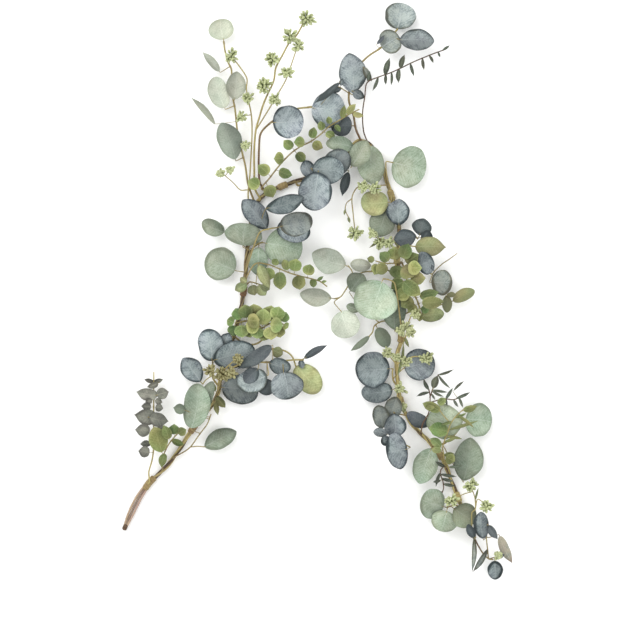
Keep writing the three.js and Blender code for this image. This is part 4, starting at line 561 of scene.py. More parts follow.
def root_spot(vine, x, y, base):
    """The way and the point of the vine, near a wanted place, where a foot lies with least under it."""
    best = None
    for i in range(TAIL_KNOT, len(vine) - 1):
        d = math.dist(vine[i + 1][:2], vine[i][:2])
        way = ((vine[i + 1][0] - vine[i][0]) / d, (vine[i + 1][1] - vine[i][1]) / d)
        for p in along(vine[i], vine[i + 1]):
            away = math.hypot(p[0] - x, p[1] - y)
            wrap = min(math.dist(vine[at][:2], p[:2]) for at in WRAPS)
            on_wrap = wrap < WRAP_LENGTH / 2 - FOOT_LENGTH - 1
            off_wrap = wrap > WRAP_LENGTH / 2 + WRAP_SHOULDER + FOOT_LENGTH + 2
            if away > ROOT_SHIFT or not (on_wrap or off_wrap):
                continue
            top = VINE_HEIGHT + (WRAP_REACH if on_wrap else VINE_RADIUS) + SEAT_GAP
            around = [base[cell_at(p[0] + dx, p[1] + dy)] for dx in (-5, 0, 5) for dy in (-5, 0, 5)]
            over = max(0, max(around) - (top - STEM_GAP))
            if best is None or away + 8 * over < best[0]:
                best = (away + 8 * over, way, (p[0], p[1], top + over))
    return best[1], best[2]


def stem_reach(radius):
    """The half height of a stem, which the solid has with flat sides."""
    return radius * (0.9 if radius > 1.85 else 0.8)


def place_stem(row, paths, vine, side, base, settle):
    """The path of a stem, arched and raised over what is already laid."""
    radius, arch, *plan = row
    points = [list(p) for p in plan]
    first = not paths
    if first:
        way, root = root_spot(vine, *points[0], base)
        height = root[2] + stem_reach(radius) - settle
    else:
        root = nearest_on(paths, *points[0])[1]
        height = root[2]
    points[0] = [root[0], root[1]]
    t = min(0.4, 3.5 / math.dist(points[1], root[:2]))
    points.insert(1, [root[k] + (points[1][k] - root[k]) * t for k in range(2)])
    run = np.concatenate([[0], np.cumsum([math.dist(a, b) for a, b in zip(points, points[1:])])])
    path = []
    for p, s in zip(points, run / run[-1]):
        path.append([p[0], p[1], height + arch * (3.2 * s * (1 - s) + 0.3 * s)])
    lift_path(path, radius, side, base)
    if first:
        ahead = (points[1][0] - root[0]) * way[0] + (points[1][1] - root[1]) * way[1]
        back = -FOOT_LENGTH if ahead < 0 else FOOT_LENGTH
        path.insert(0, [root[0] - way[0] * back, root[1] - way[1] * back, height])
    return path


def clearance(leaf, near, fields):
    """How far a blade must rise, and how far its tip must tilt up, to clear what lies under it."""
    dx, dy, length = blade_frame(leaf)[:3]
    p = blade_points(leaf)
    cells = cell_at(p[:, 0], p[:, 1])
    far = np.hypot(p[:, 0] - near[0], p[:, 1] - near[1])
    under = p[:, 2] - BLADE_THICKNESS - BLADE_GAP
    need = fields["base"][cells] - under
    need = np.where(far > ON_STEM, np.maximum(need, fields["all"][cells] - under), need)
    need = np.where(far > ON_STEM - 1, np.maximum(need, fields["stems"][cells] - under), need)
    over = need > 0
    if not over.any():
        return 0, 0
    reach = ((p[:, 0] - leaf["heel"][0]) * dx + (p[:, 1] - leaf["heel"][1]) * dy) / length
    return need.max(), (need[over] * length / np.maximum(reach[over], 0.5)).max()


def place_leaf(row, seed, paths, fields):
    """A leaf: it grows straight from the stem where it can, or stands on a stalk over what lies there."""
    kind, hx, hy, tx, ty, width, *slope = row
    away, point = nearest_on(paths, hx, hy)
    leaf = {"kind": kind, "width": width, "slope": slope[0] if slope else None, "seed": seed, "tilt": 0,
            "tip": (tx, ty), "stalk": [], "root": point}
    if away < ON_STEM:
        leaf["heel"] = [point[0], point[1], point[2] + 0.4]
        lift, tilt = clearance(leaf, point, fields)
        length = math.hypot(tx - point[0], ty - point[1])
        if lift <= 0 or tilt < KINDS[kind]["lean"] * length:
            leaf["tilt"] = tilt if lift > 0 else 0
            return leaf
        step = min(6, length * 0.2) / length
        leaf["heel"] = [point[0] + (tx - point[0]) * step, point[1] + (ty - point[1]) * step, point[2] + 1.5]
    else:
        leaf["heel"] = [hx, hy, point[2] + 2]
    heel = leaf["heel"]
    heel[2] += clearance(leaf, point, fields)[0]
    length = math.hypot(tx - heel[0], ty - heel[1])
    away = math.hypot(heel[0] - point[0], heel[1] - point[1])
    back = min(3, away * 0.4) / length
    before = [heel[0] - (tx - heel[0]) * back, heel[1] - (ty - heel[1]) * back, heel[2] - BLADE_THICKNESS / 2]
    before[2] = max(before[2], fields["base"][cell_at(before[0], before[1])] + STEM_GAP + STALK_HALF_HEIGHT)
    onward = (heel[0] - point[0]) * (tx - heel[0]) + (heel[1] - point[1]) * (ty - heel[1])
    leaf["stalk"] = [point]
    if away > 10:
        leaf["stalk"].append(stalk_bend(point, before, fields["base"]))
    if onward / (max(away, 0.1) * length) < 0.5:
        leaf["stalk"].append(before)
    return leaf


def place_head(row, seed, paths, radius, fields):
    """A seed head on its stalk over the stem."""
    x, y, reach = row
    near = nearest_on(paths, x, y)[1]
    centre = [x, y, near[2] + radius + 3]
    head = {"count": 3 if reach < 17 else 4, "centre": centre, "reach": reach, "seed": seed, "stalk": [near]}
    lift = 0
    for way, size in head_directions(head):
        line = along(centre, np.array(centre) + way * size)
        for side in (-2, 0, 2):
            cells = cell_at(line[:, 0] - way[1] * side, line[:, 1] + way[0] * side)
            need = fields["all"][cells] + BLADE_GAP + SEED_HALF_WIDTH * 0.9 - line[:, 2]
            lift = max(lift, need.max())
    centre[2] += lift
    if math.hypot(x - near[0], y - near[1]) > 8:
        head["stalk"].append(stalk_bend(near, centre, fields["base"]))
    return head


@cache
def laid_out():
    """The vine and each spray by its name, laid out once: each spray lies over what is already there."""
    taken = new_field(TABLE_GAP - BLADE_GAP)
    vine = [(x, y, VINE_HEIGHT) for x, y in VINE_PATH]
    cover_line(taken, vine, VINE_RADIUS + SEAT_GAP - STEM_GAP, VINE_RADIUS)
    for at in WRAPS:
        cover(taken, vine[at], WRAP_REACH + SEAT_GAP - STEM_GAP, WRAP_LENGTH / 2 + 2)
    seed = 1
    laid = {}
    for spray in SPRAYS:
        fields = {"base": taken.copy(), "all": taken, "stems": new_field(OPEN)}
        paths, stems, leaves, heads = [], [], [], []
        for row in spray["stems"]:
            path = place_stem(row, paths, vine, spray["side"], fields["base"], spray["settle"])
            paths.append(path)
            stems.append((row[0], path))
            cover_line(fields["stems"], path, row[0], row[0])
        for row in spray["leaves"]:
            seed += 1
            leaf = place_leaf(row, seed, paths, fields)
            cover(taken, blade_points(leaf), 0, 1.5)
            cover_line(taken, [*leaf["stalk"], leaf["heel"]], STALK_HALF_HEIGHT, STALK_HALF_WIDTH)
            leaves.append(leaf)
        for row in spray["heads"]:
            seed += 1
            head = place_head(row, seed, paths, spray["stems"][0][0], fields)
            for way, size in head_directions(head):
                end = np.array(head["centre"]) + way * size
                cover_line(taken, [head["centre"], end], SEED_HALF_WIDTH, SEED_HALF_WIDTH)
            cover_line(taken, [*head["stalk"], head["centre"]], STALK_HALF_HEIGHT, STALK_HALF_WIDTH)
            heads.append(head)
        np.maximum(taken, fields["stems"], out=taken)
        laid[spray["name"]] = {**spray, "stems": stems, "leaves": leaves, "heads": heads}
    return vine, laid


# What each point of a mesh carries to its material: how light it is, which on leaf blades also holds painted
# shade, how tan and dark it is, its way in from a leaf's rim or along a seed, and the turn of its hue.
MARKS = ("tone", "tan", "dark", "edge", "hue")

# The fine blade's top lies this far under the solid's, and a stalk ends under this share of its blade.
UNDER_TOP = 0.15
STALK_UNDER = 0.14

# Wires twisted in the vine, and the length in which its tape laps once.
STRANDS = 4
TAPE_LAP = 5.2


class Shape:
    """Points, faces and the marks that each point carries to the materials, gathered for one mesh."""

    def __init__(self):
        self.points, self.faces, self.slots, self.uv = [], [], [], []
        self.marks = {name: [] for name in MARKS}
        self.count = 0

    def add(self, points, faces, slot, uv, **marks):
        """Adds points and their faces, with a mark given as one number or a number for each point."""
        n = len(points)
        self.points.append(np.asarray(points, float))
        self.faces += [tuple(i + self.count for i in f) for f in faces]
        self.slots += [slot] * len(faces)
        self.uv.append(np.asarray(uv, float))
        for name, values in self.marks.items():
            values.append(np.broadcast_to(np.asarray(marks.get(name, 0.0), float), (n,)))
        self.count += n

    def piece(self, name, materials):
        """One smooth mesh object from the whole shape, in metres."""
        mesh = bpy.data.meshes.new(name)
        mesh.from_pydata((np.concatenate(self.points) * MM).tolist(), [], self.faces)
        for material in materials:
            mesh.materials.append(material)
        mesh.polygons.foreach_set("material_index", self.slots)
        mesh.shade_smooth()
        corners = np.empty(len(mesh.loops), int)
        mesh.loops.foreach_get("vertex_index", corners)
        layer = mesh.uv_layers.new(name="blade")
        layer.data.foreach_set("uv", np.concatenate(self.uv)[corners].ravel())
        for mark, values in self.marks.items():
            mesh.attributes.new(mark, "FLOAT", "POINT").data.foreach_set("value", np.concatenate(values))
        mesh.validate()
        mesh.update()
        made = bpy.data.objects.new(name, mesh)
        bpy.context.scene.collection.objects.link(made)
        return made


def unit(vector):
    """A vector's direction, of length one."""
    return vector / np.linalg.norm(vector)


def smooth_line(points, step):
    """A rounded line through some points, with its points about a step apart."""
    p = np.asarray(points, float)
    ends = np.concatenate([[2 * p[0] - p[1]], p, [2 * p[-1] - p[-2]]])
    out = []
    for i in range(1, len(ends) - 2):
        a, b, c, d = ends[i - 1:i + 3]
        leave, arrive = (c - a) / 2, (d - b) / 2
        size = np.linalg.norm(c - b)
        for tangent in (leave, arrive):
            long = np.linalg.norm(tangent)
            if long > size:
                tangent *= size / long
        n = max(1, round(size / step))
        t = (np.arange(n) / n)[:, None]
        out.append((2 * t**3 - 3 * t**2 + 1) * b + (t**3 - 2 * t**2 + t) * leave
                   + (3 * t**2 - 2 * t**3) * c + (t**3 - t**2) * arrive)
    return np.concatenate(out + [p[-1:]])


def run_along(line):
    """How far along a line each of its points is."""
    return np.concatenate([[0], np.cumsum(np.linalg.norm(np.diff(line, axis=0), axis=1))])


def ring_faces(rings, sides):
    """The faces of a round skin, ring after ring."""
    faces = []
    for i in range(rings - 1):
        for k in range(sides):
            m = (k + 1) % sides
            faces.append((i * sides + k, i * sides + m, (i + 1) * sides + m, (i + 1) * sides + k))
    return faces


def add_tube(shape, points, radii, sides, slot, tone=0.0, tan=0.0, dark=0.0, floor=None):
    """A closed round bar along a line, with a radius and marks for the whole or for each point."""
    p = np.asarray(points, float)
    n = len(p)
    way = np.gradient(p, axis=0)
    way /= np.maximum(np.linalg.norm(way, axis=1), 1e-9)[:, None]
    side = np.cross((0, 0, 1), way)
    side[np.linalg.norm(side, axis=1) < 0.05] = (1, 0, 0)
    side /= np.linalg.norm(side, axis=1)[:, None]
    over = np.cross(way, side)
    turn = 2 * np.pi * np.arange(sides) / sides
    radii = np.broadcast_to(np.asarray(radii, float), (n,))
    ring = side[:, None] * np.cos(turn)[None, :, None] + over[:, None] * np.sin(turn)[None, :, None]
    skin = (p[:, None] + ring * radii[:, None, None]).reshape(-1, 3)
    uv = np.stack(np.broadcast_arrays(run_along(p)[:, None] / 10, turn[None] / (2 * np.pi)), -1)
    uv = uv.reshape(-1, 2)
    faces = ring_faces(n, sides)
    first, last = n * sides, n * sides + 1
    for k in range(sides):
        m = (k + 1) % sides
        faces += [(first, m, k), (last, (n - 1) * sides + k, (n - 1) * sides + m)]
    skin = np.concatenate([skin, p[:1] - way[:1] * radii[0] * 0.4, p[-1:] + way[-1:] * radii[-1] * 0.4])
    uv = np.concatenate([uv, uv[:1], uv[-1:]])
    if floor is not None:
        skin[:, 2] = np.maximum(skin[:, 2], floor)
    marks = {}
    for name, value in (("tone", tone), ("tan", tan), ("dark", dark)):
        value = np.repeat(np.broadcast_to(np.asarray(value, float), (n,)), sides)
        marks[name] = np.concatenate([value, value[:1], value[-1:]])
    shape.add(skin, faces, slot, uv, **marks)


def blade_grid(leaf, rows, columns, wave):
    """The fine upper face of a blade: its points, its veins' coordinates and their way in from the rim."""
    kind = KINDS[leaf["kind"]]
    dx, dy, length, half, slope, rise, bow, cup = blade_frame(leaf)
    seed, pointed = leaf["seed"], leaf["pointed"]
    u = (1 - np.cos(np.pi * np.arange(rows + 1) / rows)) / 2
    w = np.sin(np.pi / 2 * np.linspace(-1, 1, columns + 1))
    power = kind["power"] * (0.9 + 1.5 * u**2 if pointed else 1 if kind["dish"] else 0.8 + 1.2 * u**3)
    slimming = 0.88 + 0.06 * wobble(seed) if pointed else 1
    moved = u ** (0.85 if pointed else kind["waist"])
    share = slimming * (4 * moved * (1 - moved)) ** power
    share = np.maximum(share, STALK_HALF_WIDTH * 0.8 / half * (1 - u) ** 2)
    share[-1] = 0
    u, w = u[:, None], w[None]
    turn = 9 * wobble(seed + 0.11)
    ripple = 0.022 * np.sin(7 * u + 3 * np.sign(w) + turn)
    edge_wave = 1 + ripple + 0.012 * np.sin(17 * u - turn + 2 * np.sign(w))
    across = w * share[:, None] * edge_wave * half
    bend = 0.05 * wobble(seed + 0.47) * length * np.sin(np.pi * u) + 0 * w
    x = leaf["heel"][0] + dx * u - dy / length * (across + bend)
    y = leaf["heel"][1] + dy * u + dx / length * (across + bend)
    z = leaf["heel"][2] + rise * u + bow * 4 * u * (1 - u) + cup * w**2 * share[:, None] + slope * across
    z = z + kind["fold"] * share[:, None] * (np.abs(w) - 0.7)
    size = min(1, half / 20) * wave
    swell = np.sin(9 * u + 2.4 * w + turn) + 0.6 * np.sin(15 * u - 1.7 * w - turn)
    z = z + size * w**2 * share[:, None] * swell
    z = z - UNDER_TOP
    points = np.stack([x, y, z], -1)
    rim = np.concatenate([points[:, 0], points[::-1, -1]])[:, :2]
    flat = points.reshape(-1, 3)[:, :2]
    a, b = rim[:-1], rim[1:]
    step = b - a
    t = ((flat[:, None] - a) * step).sum(-1) / np.maximum((step**2).sum(-1), 1e-9)
    near = a + np.clip(t, 0, 1)[..., None] * step
    edge = np.linalg.norm(flat[:, None] - near, axis=-1).min(1)
    uv = np.stack([(u * length + 0 * w) / 10, across / 10], -1).reshape(-1, 2)
    return points, uv, edge


def add_blade(shape, leaf, slots, thickness, wave, tone, tan, dark, turn):
    """A leaf blade: an upper face, an underside and a cut rim between them, with painted shade: one half of
    the blade is lighter than the other, and one end lighter than the other.
    """
    rows, columns = KINDS[leaf["kind"]]["grid"]
    points, uv, edge = blade_grid(leaf, rows, columns, wave)
    wide = columns + 1
    top = points.reshape(-1, 3)[:rows * wide + 1]
    uv, edge = uv[:rows * wide + 1], edge[:rows * wide + 1]
    edge[-1] = 0
    half, seed = leaf["width"] / 20, leaf["seed"]
    aside, ahead = uv[:, 1] / half, uv[:, 0] / uv[-1, 0] - 0.5
    # Painted shade: one half of the blade is lighter than the other across the midrib, as if folded towards
    # the light, and one end is lighter than the other.
    fold_shade, length = wobble(seed * 1.31), wobble(seed * 1.73)
    tone = tone + (fold_shade + 0.5 * np.sign(fold_shade)) * 0.7 * np.tanh(3 * aside)
    tone = tone + (length + 0.5 * np.sign(length)) * ahead
    marks = {"tone": tone, "tan": tan, "dark": dark, "edge": edge, "hue": turn + wobble(seed * 2.9)}
    faces = []
    for i in range(rows - 1):
        for j in range(columns):
            a = i * wide + j
            faces.append((a, a + wide, a + wide + 1, a + 1))
    for j in range(columns):
        faces.append(((rows - 1) * wide + j, rows * wide, (rows - 1) * wide + j + 1))
    low = top - (0, 0, thickness)
    shape.add(top, faces, slots[0], uv, **marks)
    shape.add(low, [f[::-1] for f in faces], slots[1], uv, **marks)
    rim = [i * wide for i in range(rows + 1)] + [i * wide + columns for i in range(rows - 1, -1, -1)]
    n = len(rim)
    strip = np.concatenate([top[rim], low[rim]])
    bands = [(i, n + i, n + (i + 1) % n, (i + 1) % n) for i in range(n)]
    marks |= {"tone": np.concatenate([tone[rim]] * 2), "edge": 0.0}
    shape.add(strip, bands, slots[0], np.concatenate([uv[rim]] * 2), **marks)


def add_bud(shape, root, way, size, slot, width, tone, tan):
    """A seed: a slim neck that swells to a long bud and narrows to a small point."""
    root, way = np.asarray(root, float), np.asarray(way, float)
    side = unit(np.cross(way, (0.31, 0.17, 0.93)))
    over = np.cross(way, side)
    profile = [(0.04, 0.28), (0.26, 0.34), (0.42, 0.6), (0.58, 0.9), (0.74, 1.0), (0.87, 0.86), (0.96, 0.5)]
    sides = 8
    rings, uv, mark = [], [], []
    for share, reach in profile:
        for k in range(sides):
            a = 2 * np.pi * k / sides
            r = width * reach * (1 + (0.07 if reach > 0.4 else 0) * math.cos(4 * a))
            rings.append(root + way * size * share + (side * math.cos(a) + over * math.sin(a)) * r)
            uv.append((size * share / 10, k / sides))
            mark.append(share)
    rings.append(root + way * size)
    uv.append((size / 10, 0))
    mark.append(1)
    faces = ring_faces(len(profile), sides)
    last = (len(profile) - 1) * sides
    faces += [(last + k, last + (k + 1) % sides, last + sides) for k in range(sides)]
    shape.add(rings, faces, slot, uv, tone=tone, tan=tan, edge=np.array(mark) * 10)


def add_head(shape, head, slots, width, tan):
    """A seed head: seeds all round a small hub, with shorter ones between them, on a curved stalk."""
    centre, seed = np.array(head["centre"]), head["seed"]
    stalk = smooth_line([*head["stalk"], head["centre"]], 2.5)
    add_tube(shape, stalk, 0.85, 7, slots[1], tone=0.3, tan=0.3)
    ways = head_directions(head)
    for i, (way, size) in enumerate(ways):
        lean = np.array([wobble(seed * 7 + i * 3.1 + k * 1.7) for k in range(3)])
        way = unit(way + 0.3 * lean)
        ways[i] = (way, size)
        bud = width * (1 + 0.16 * wobble(seed + i * 2.7))
        tone = 1.2 * wobble(seed + i * 1.3)
        add_bud(shape, centre, way, size * (0.96 + 0.12 * lean[0]), slots[0], bud, tone, tan)
    around = len(ways) - 1
    for lift, share, count in ((0.25, 0.92, around), (0.9, 0.84, 7), (1.6, 0.78, 5), (2.8, 0.72, 3)):
        for i in range(count):
            turn = i * around // count
            between = ways[turn][0] + ways[(turn + 1) % around][0]
            between += [0.5 * wobble(seed + i * 4.3 + lift), 0.5 * wobble(seed + i * 5.9 - lift), lift]
            size = head["reach"] * (share + 0.12 * wobble(seed + i * 2.1 + lift))
            bud = width * (0.86 + 0.14 * wobble(seed + i * 3.3))
            tone = 1.2 * wobble(seed + i * 1.7 + 9 * lift)
            add_bud(shape, centre, unit(between), size, slots[0], bud, tone, tan)


def add_stems(shape, spray, slot):
    """The stems of a spray, browner and thicker near the vine, with knots where leaves grow."""
    brown = spray["brown"]
    for n, (radius, path) in enumerate(spray["stems"]):
        line = smooth_line(path, 3)
        t = np.linspace(0, 1, len(line))
        knots = np.zeros(len(line))
        for leaf in spray["leaves"]:
            away = np.linalg.norm(line - np.array(leaf["root"]), axis=1)
            knots = np.maximum(knots, np.exp(-((away / 2.2) ** 2)))
        radii = stem_reach(radius) * (1.04 - 0.2 * t + 0.16 * knots)
        tan = np.clip(brown * (1.5 - 1.5 * t) + 0.3 * knots, 0, 1)
        if n:
            tan = tan * 0.6
        if brown > 1:
            tan = 1.0
        tone = 0.4 * wobble(len(path) + n) - 2 * min(0, brown)
        add_tube(shape, line, radii, 9, slot, tone=tone, tan=tan, dark=max(0, brown - 1))


def build_spray(name, materials, sizes):
    """One spray: its stems, its leaves with their stalks and its seed heads, as one piece."""
    spray = laid_out()[1][name]
    look = spray["look"]
    shape = Shape()
    add_stems(shape, spray, 2)
    for i, leaf in enumerate(spray["leaves"]):
        tone, tan, dark, turn = TONE_WORDS[(spray["tones"][i:] or "m")[0]]
        tone += 0.3 * wobble(leaf["seed"] * 3.7)
        tan = min(1, max(0, tan + 0.12 * wobble(leaf["seed"] * 2.3)))
        dark = min(1, max(0, dark + 0.1 * wobble(leaf["seed"] * 1.9)))
        leaf["pointed"] = spray["pointed"] and leaf["kind"] == "small"
        add_blade(shape, leaf, (0, 1), sizes.leaf_thickness / MM, sizes.edge_wave / MM, tone, tan, dark, turn)
        dx, dy, *_, rise, bow, _ = blade_frame(leaf)
        heel = leaf["heel"]
        u = STALK_UNDER
        lift = rise * u + bow * 4 * u * (1 - u)
        under = [heel[0] + dx * u, heel[1] + dy * u, heel[2] + lift - 0.9]
        start = leaf["stalk"] or [leaf["root"]]
        near = [heel[0], heel[1], heel[2] - 0.7]
        line = smooth_line([*start, near, under], 2)
        slim = 0.55 if leaf["kind"] in ("slim", "small") else 1
        radii = np.linspace(0.95, 0.5, len(line)) * slim
        add_tube(shape, line, radii, 6, 2, tone=tone, tan=0.25 + 0.4 * tan)
    for head in spray["heads"]:
        add_head(shape, head, (3, 2), sizes.seed_width / MM / 2, spray["seed_tan"])
    made = shape.piece(name + "_fine", [materials[key] for key in (look, look + "_under", "stem", "bud")])
    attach(made, "root")
    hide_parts(name)


def build_vine(materials, sizes):
    """The vine: twisted wires, wound with tape in places, and a bare tail bound at its cut end."""
    vine = laid_out()[0]
    shape = Shape()
    line = smooth_line(vine[TAIL_KNOT:], 3)
    run = run_along(line)
    way = np.gradient(line, axis=0)
    way /= np.linalg.norm(way, axis=1)[:, None]
    side = np.cross((0, 0, 1), way)
    side /= np.linalg.norm(side, axis=1)[:, None]
    share = run / run[-1]
    brown = np.interp(share, [0, 0.05, 0.09, 0.14, 0.22, 0.4, 0.5, 0.6, 1],
                      [0.7, 0.1, 0, 0.1, 0.75, 0.7, 0.35, 0, 0.1])
    faded = np.interp(share, [0.6, 0.7, 0.86, 0.93], [0, 1.7, 1.3, 0])
    for k in range(STRANDS):
        turn = 2 * np.pi * (run / sizes.strand_pitch * MM + k / STRANDS) + 0.7 * np.sin(run / 37 + k)
        reach = VINE_RADIUS - sizes.strand_radius / MM * (1 + 0.1 * math.sin(k * 2.1))
        centre = line + side * (np.cos(turn) * reach)[:, None]
        centre[:, 2] += np.sin(turn) * reach
        radius = sizes.strand_radius / MM * (1 + 0.14 * wobble(k + 3) + 0.05 * np.sin(run / 5.5 + k * 2))
        tan = np.clip(brown + (-0.2, 0.35, 0.0, 0.6)[k] + 0.12 * np.sin(run / 53 + 2 * k), 0, 1)
        add_tube(shape, centre, radius, 9, 0, tone=(1.8, -0.9, 0.6, -1.8)[k] + faded, tan=tan)
    # A dark core inside the wires, seen only between them: painted shade in the gaps between the wires.
    add_tube(shape, line, VINE_RADIUS * 0.55, 8, 1, tan=0.9, dark=0.9)
    for n, at in enumerate(WRAPS):
        half = WRAP_LENGTH * 0.8 if at == TAIL_KNOT else WRAP_LENGTH / 2
        add_wrap(shape, vine, at, half, 0.35 + 0.3 * wobble(n * 1.9) + (0.5 if at < 12 else 0))
    vine = np.array(vine, float)
    head = vine[0]
    ahead = unit(vine[1] - head)
    end = smooth_line([head + ahead * s for s in (-0.6, 3, 6, 9)], 1)
    radii = np.interp(np.arange(len(end)), [0, 2, len(end) - 3, len(end) - 1], [3.7, 4.2, 4.2, 3.3])
    add_tube(shape, end, radii, 16, 1, tone=-0.8, tan=1.0, dark=1.0)
    for s in (-1, 0, 1):
        wire = []
        for i in range(TAIL_KNOT + 1):
            step = unit(vine[i + 1] - vine[i])
            away = (0.45, 1, 1, 0.6)[i] * s * TAIL_WIRE_SPACING
            start = head + ahead * 4 if i == 0 else vine[i]
            wire.append([start[0] - step[1] * away, start[1] + step[0] * away, VINE_HEIGHT])
        wire = smooth_line(wire, 3)
        t = np.linspace(0, 1, len(wire))
        radii = TAIL_WIRE_RADIUS * (0.96 + 0.06 * np.sin(30 * t + 2 * s))
        add_tube(shape, wire, radii, 10, 2, tone=(2.4, -1.6, 1.2)[s + 1], tan=0.85 - 0.1 * s)
    made = shape.piece("main_vine_fine", [materials["vine"], materials["tape"], materials["tail"]])
    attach(made, "root")
    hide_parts("main_vine")


def add_wrap(shape, vine, at, half, tan):
    """A wrap of paper tape round the vine, its turns lapped, and flat where it rests."""
    here = np.array(vine[at], float)
    before = unit(np.array(vine[at - 1], float) - here)
    after = unit(np.array(vine[at + 1], float) - here)
    reach = half + WRAP_SHOULDER
    s = np.arange(-reach, reach + 0.1, 0.8)
    line = here + np.where(s[:, None] < 0, -s[:, None] * before, s[:, None] * after)
    line = line + np.exp(-((s / 3) ** 2))[:, None] * (before + after) * 0.5
    lap = (s / TAPE_LAP) % 1
    radii = np.interp(np.abs(s), [0, half - 1, half, reach], [6.25, 6.2, 5.9, 4.3]) - 0.35 * lap
    add_tube(shape, line, radii, 20, 1, tone=0.5 * wobble(at), tan=min(1, max(0, tan)), floor=0.0)


# Leaf colours in sRGB, as printed on the cloth: face, its paler brushing, rim, underside and veins. The last
# two are how strong the brushing and the rim are.
LOOKS = {
    "blue": ("556267", "8a9495", "232d31", "3d4447", "a3abab", 1.0, 0.95),
    "mint": ("78866f", "9aa694", "56624f", "65705f", "a9b2a4", 0.6, 0.55),
    "pale": ("9ca292", "b6baac", "7f8674", "8a907e", "bfc3b5", 0.6, 0.45),
    "green": ("566530", "7b8650", "98a26a", "4f5a35", "8b9462", 0.8, 0.6),
    "olive": ("7c7e54", "999c70", "55573a", "63654a", "a3a57c", 0.7, 0.5),
    "mauve": ("64655c", "838478", "45443f", "55544c", "8e8d81", 0.9, 0.6),
    "twig": ("41483d", "5c6455", "2d332b", "3c4338", "697162", 0.8, 0.5),
    "seed": ("626a41", "7e8557", "4a5130", "575e3b", "868c62", 0.7, 0.4),
}

# Each letter is a leaf's tone: how light it is, which on the darker letters is partly painted shade for
# leaves that lie in shadow, how tan, how much of the dark underside's colour it has and how far its hue turns
# from yellow towards green. A spray's letters follow its leaves.
TONE_WORDS = {
    "m": (0, 0, 0, 0), "l": (0.8, 0, 0, 0), "p": (1.6, 0, 0, 0), "v": (2.4, 0, 0, 0), "s": (-0.8, 0, 0, 0),
    "x": (-1.5, 0, 0, 0), "o": (0, 0.4, 0, 0), "q": (0.9, 0.35, 0, 0), "w": (1.7, 0.3, 0, 0),
    "y": (2.6, 0.3, 0, 0), "g": (-0.7, 0.4, 0, 0), "e": (-0.6, 0.25, 0.25, 0), "r": (1.2, 0.55, 0, -4),
    "k": (-0.1, 0, 0.5, 0), "d": (-0.3, 0, 0.9, 0), "t": (0.4, 0.85, 0, 0), "f": (0.2, 0, 0, 0.7),
    "a": (1.2, 0, 0, 0.3), "c": (-1.0, 0, 0.3, 0.9), "u": (-1.6, 0, 0, 3.2), "z": (4.2, 0, 0, 0),
}


def linear(code):
    """An sRGB hex colour as the linear colour that the shaders take."""
    out = []
    for i in (0, 2, 4):
        c = int(code[i:i + 2], 16) / 255
        out.append(c / 12.92 if c <= 0.04045 else ((c + 0.055) / 1.055) ** 2.4)
    return (*out, 1.0)


def put(tree, kind, inputs=None, stops=None, **settings):
    """Adds a node with its settings, gives each named socket its value or link, and returns its outputs."""
    node = tree.nodes.new(kind)
    for key, value in settings.items():
        setattr(node, key, value)
    for key, value in (inputs or {}).items():
        if isinstance(value, bpy.types.NodeSocket):
            tree.links.new(value, node.inputs[key])
        else:
            node.inputs[key].default_value = value
    if stops:
        ramp = node.color_ramp
        while len(ramp.elements) < len(stops):
            ramp.elements.new(0.5)
        for element, (place, colour) in zip(ramp.elements, stops):
            element.position = place
            element.color = colour
    return node.outputs


def new_material(name):
    """An empty node material and its tree."""
    material = bpy.data.materials.new(name)
    material.use_nodes = True
    material.node_tree.nodes.clear()
    return material, material.node_tree


def finish_material(tree, colour, roughness, height, depth, specular, sheen=0.0):
    """Ends a tree with the shader and a bump of some depth in metres."""
    bump = put(tree, "ShaderNodeBump", {"Height": height, "Strength": 0.7, "Distance": depth})
    shader = put(tree, "ShaderNodeBsdfPrincipled", {
        "Base Color": colour, "Roughness": roughness, "Normal": bump[0], "Metallic": 0.0,
        "IOR": 1.46, "Specular IOR Level": specular, "Sheen Weight": sheen, "Sheen Roughness": 0.5,
    })
    put(tree, "ShaderNodeOutputMaterial", {"Surface": shader[0]})


